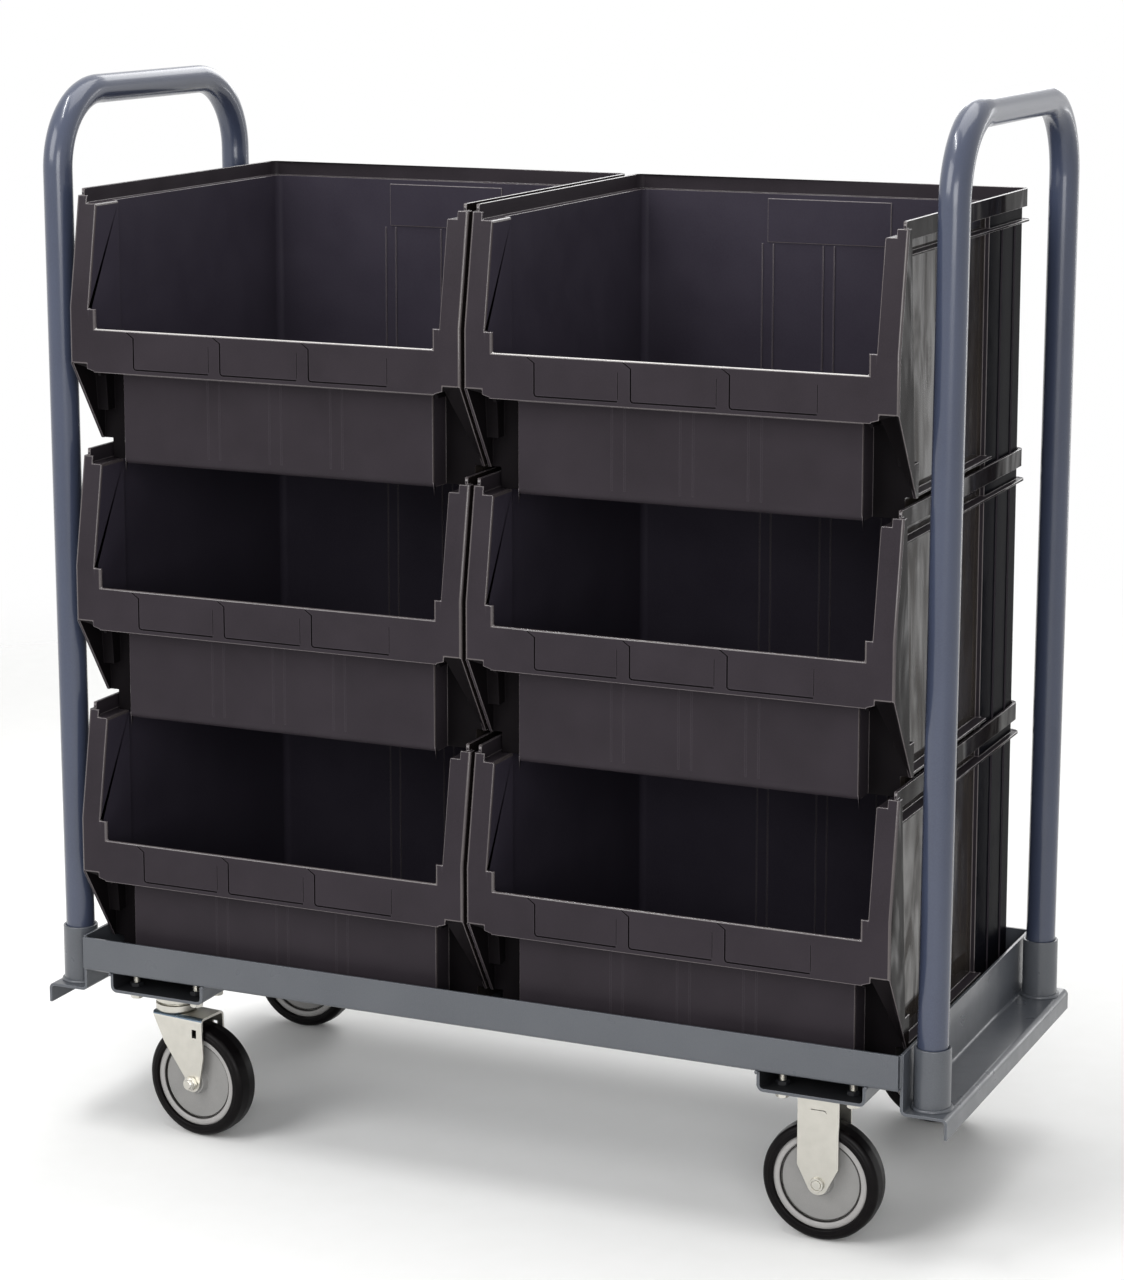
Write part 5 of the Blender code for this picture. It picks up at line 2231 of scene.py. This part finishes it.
    def finish_of(self, face: MeshPolygon) -> BinFinish:
        """Which of the bin's finishes a face has.

        Args:
            face: A face of the bin, already marked with the rubbed painted highlight where an edge was
                rounded.

        Returns:
            Its finish.
        """
        middle = face.center
        normal = face.normal
        across = abs(middle.x)
        outward = normal.x * math.copysign(1.0, middle.x) > 0.9
        at_side = across > self.tub_half - 1.0 * MM and outward
        if self.on_lip(middle, normal):
            return BinFinish.DRAGGED
        # Label grooves and the recesses get painted shade
        if self.in_groove(middle, normal) or (self.out_of_reach(middle) and not at_side):
            return BinFinish.DUSTY
        if face.material_index == BinFinish.RUBBED:
            return BinFinish.RUBBED
        if at_side and middle.y > self.corner_start - 1.0 * MM:
            return BinFinish.CORNER
        if at_side:
            # The sunk tub sides get the painted reflection
            return BinFinish.POLISHED if across > self.rim_half else BinFinish.PALE
        # The hollow's faces get the paler inside, painted light
        return BinFinish.INSIDE if self.holds(middle + normal * 2.0 * MM) else BinFinish.GRAINED

    def on_lip(self, middle: Vector, normal: Vector) -> bool:
        """Whether a face is on the rounded upper front edge of the lip.

        Args:
            middle: The face's middle.
            normal: The way that it looks.

        Returns:
            Whether the lip's painted highlight goes on it.
        """
        near = abs(middle.z - self.lip) < 2.0 * MM and middle.y < self.front + self.wall
        return near and abs(middle.x) < self.mouth_half and normal.z > 0.3 and normal.y < -0.2

    def in_groove(self, middle: Vector, normal: Vector) -> bool:
        """Whether a face is the floor or a wall of a label's groove.

        Args:
            middle: The face's middle.
            normal: The way that it looks.

        Returns:
            Whether the groove holds it.
        """
        slack = 0.1 * MM
        sunk = self.front + slack < middle.y < self.front + self.groove_depth + slack
        in_band = self.label_bottom - slack < middle.z < self.lip - 1.8 * MM
        looks = normal.y < -0.9 or abs(normal.y) < 0.1
        return sunk and in_band and looks and abs(middle.x) < self.mouth_half

    def out_of_reach(self, middle: Vector) -> bool:
        """Whether a face lies in a pocket of the wings or in a recess beside the nose.

        Args:
            middle: The face's middle.

        Returns:
            Whether shade is painted there.
        """
        slack = 0.1 * MM
        across = abs(middle.x)
        behind_face = self.lean_at(middle.z) + 1.0 * MM < middle.y < self.wing_back + 1.0 * MM
        beside_nose = self.nose_half + 3 * slack < across and middle.z < self.chin_end_height
        in_pocket = self.pocket_inner - slack < across and middle.z < self.ledge_height - self.wall
        return behind_face and (beside_nose or in_pocket) and across < self.half_width - self.wall + slack


@dataclass
class BinStack(SubAssembly):
    """Two columns of three bins."""

    tiers: tuple[str, ...] = ("lower", "middle", "upper")

    def build(self) -> None:
        """Copy the one bin to its six places."""
        mould = BinMould(self.palette)
        mesh = mould.mesh()
        for side in Side:
            for tier in self.tiers:
                finishes = list(self.palette.bins.values())
                # The top lips get the bright painted highlight, as if lit from above, and those below,
                # shaded by the bins over them, get the edges' fainter painted highlight
                if tier != "upper":
                    finishes[BinFinish.DRAGGED] = finishes[BinFinish.RUBBED]
                name = f"{side.label}_{tier}_bin"
                low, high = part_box(name)
                place = ((low.x + high.x) / 2, low.y - mould.front, low.z)
                body = f"{side.label}_{tier}"
                self.add_piece(f"{name}_moulding", placed(mesh, place), finishes, body, "bin_plastic", name)


@dataclass
class Studio:
    """Floor, lamps, world and camera."""

    floor_radius: float = 3.3
    ambient: float = 0.36
    lamp_target: tuple[float, float, float] = (0.0, 0.0, 0.5)
    camera_place: tuple[float, float, float] = (1.4636, -3.2547, 1.3541)
    camera_yaw: float = 24.1
    camera_pitch: float = 9.31
    lens: float = 93.67
    shift_y: float = -0.15

    def build(self) -> None:
        """Set everything up."""
        self.lay_floor()
        self.light_world()
        self.hang_lamp("key softbox", (-1.9, -3.6, 2.9), (2.6, 2.6), 105.0)
        self.hang_lamp("fill softbox", (1.8, -3.6, 1.5), (1.8, 1.8), 58.0)
        self.hang_lamp("top softbox", (0.3, 0.6, 3.6), (2.4, 2.4), 55.0)
        self.hang_lamp("back softbox", (-0.6, 3.6, 2.4), (2.2, 2.2), 45.0)
        self.hang_lamp("long strip", (-0.9, -0.7, 3.4), (1.8, 0.12), 30.0)
        self.hang_lamp("tall strip", (1.83, 3.0, 0.9), (0.14, 1.9), 6.0)
        self.set_camera()
        bpy.context.scene.view_settings.view_transform = "Standard"

    def lay_floor(self) -> None:
        """A thin round floor that fades out at its rim."""
        mesh = prism(circle(self.floor_radius, 96), Axis.Z, -0.02, 0.0)
        mesh.materials.append(StudioFloor().make())
        in_scene("studio_floor", mesh)

    def light_world(self) -> None:
        """White wherever the camera or a reflection looks, and a softer grey light on the cart."""
        world = bpy.data.worlds.new("studio")
        bpy.context.scene.world = world
        world.use_nodes = True
        tree = world.node_tree
        tree.nodes.clear()
        path = add_node(tree, "ShaderNodeLightPath")
        seen = path.outputs["Is Camera Ray"]
        for name in ("Is Glossy Ray", "Is Transmission Ray"):
            settings = {"operation": "MAXIMUM"}
            seen = add_node(tree, "ShaderNodeMath", settings, {0: seen, 1: path.outputs[name]}).outputs[0]
        light = add_node(tree, "ShaderNodeBackground", {"Strength": self.ambient})
        white = add_node(tree, "ShaderNodeBackground", {"Strength": 1.0})
        for node in (light, white):
            node.inputs["Color"].default_value = (1.0, 1.0, 1.0, 1.0)
        links = {0: seen, 1: light.outputs[0], 2: white.outputs[0]}
        mix = add_node(tree, "ShaderNodeMixShader", None, links)
        add_node(tree, "ShaderNodeOutputWorld", None, {"Surface": mix.outputs[0]})

    def hang_lamp(self, name: str, place: Sequence[float], size: Point, power: float) -> None:
        """One softbox that looks at the cart's middle.

        Args:
            name: The lamp's name.
            place: Where it hangs.
            size: Its width and height.
            power: Its power in watts.
        """
        lamp = bpy.data.lights.new(name, "AREA")
        lamp.shape = "RECTANGLE"
        lamp.size, lamp.size_y = size
        lamp.energy = power
        holder = in_scene(name, lamp)
        holder.location = place
        aim = Vector(self.lamp_target) - Vector(place)
        holder.rotation_euler = aim.to_track_quat("-Z", "Y").to_euler()

    def set_camera(self) -> None:
        """A long lens from the right of the cart, a little above it."""
        camera = bpy.data.cameras.new("camera")
        camera.lens = self.lens
        camera.sensor_fit = "AUTO"
        camera.sensor_width = 36.0
        camera.shift_y = self.shift_y
        holder = in_scene("camera", camera)
        holder.location = self.camera_place
        yaw = math.radians(self.camera_yaw)
        pitch = math.radians(self.camera_pitch)
        level = math.cos(pitch)
        look = Vector((-math.sin(yaw) * level, math.cos(yaw) * level, -math.sin(pitch)))
        holder.rotation_euler = look.to_track_quat("-Z", "Y").to_euler()
        bpy.context.scene.camera = holder


def main() -> None:
    """Build and dress the whole cart, then set up the studio."""
    logging.basicConfig(level=logging.INFO, format="%(message)s")
    palette = mix_palette()
    BaseFrame(palette).build()
    for side in Side:
        TubeHandle(palette, side).build()
    SwivelCaster(palette, Side.LEFT, End.FRONT, turn=math.radians(-6.5)).build()
    SwivelCaster(palette, Side.LEFT, End.REAR, turn=math.radians(180.0)).build()
    RigidCaster(palette, Side.RIGHT, End.FRONT).build()
    RigidCaster(palette, Side.RIGHT, End.REAR).build()
    BinStack(palette).build()
    Studio().build()


if __name__ == "__main__":
    main()
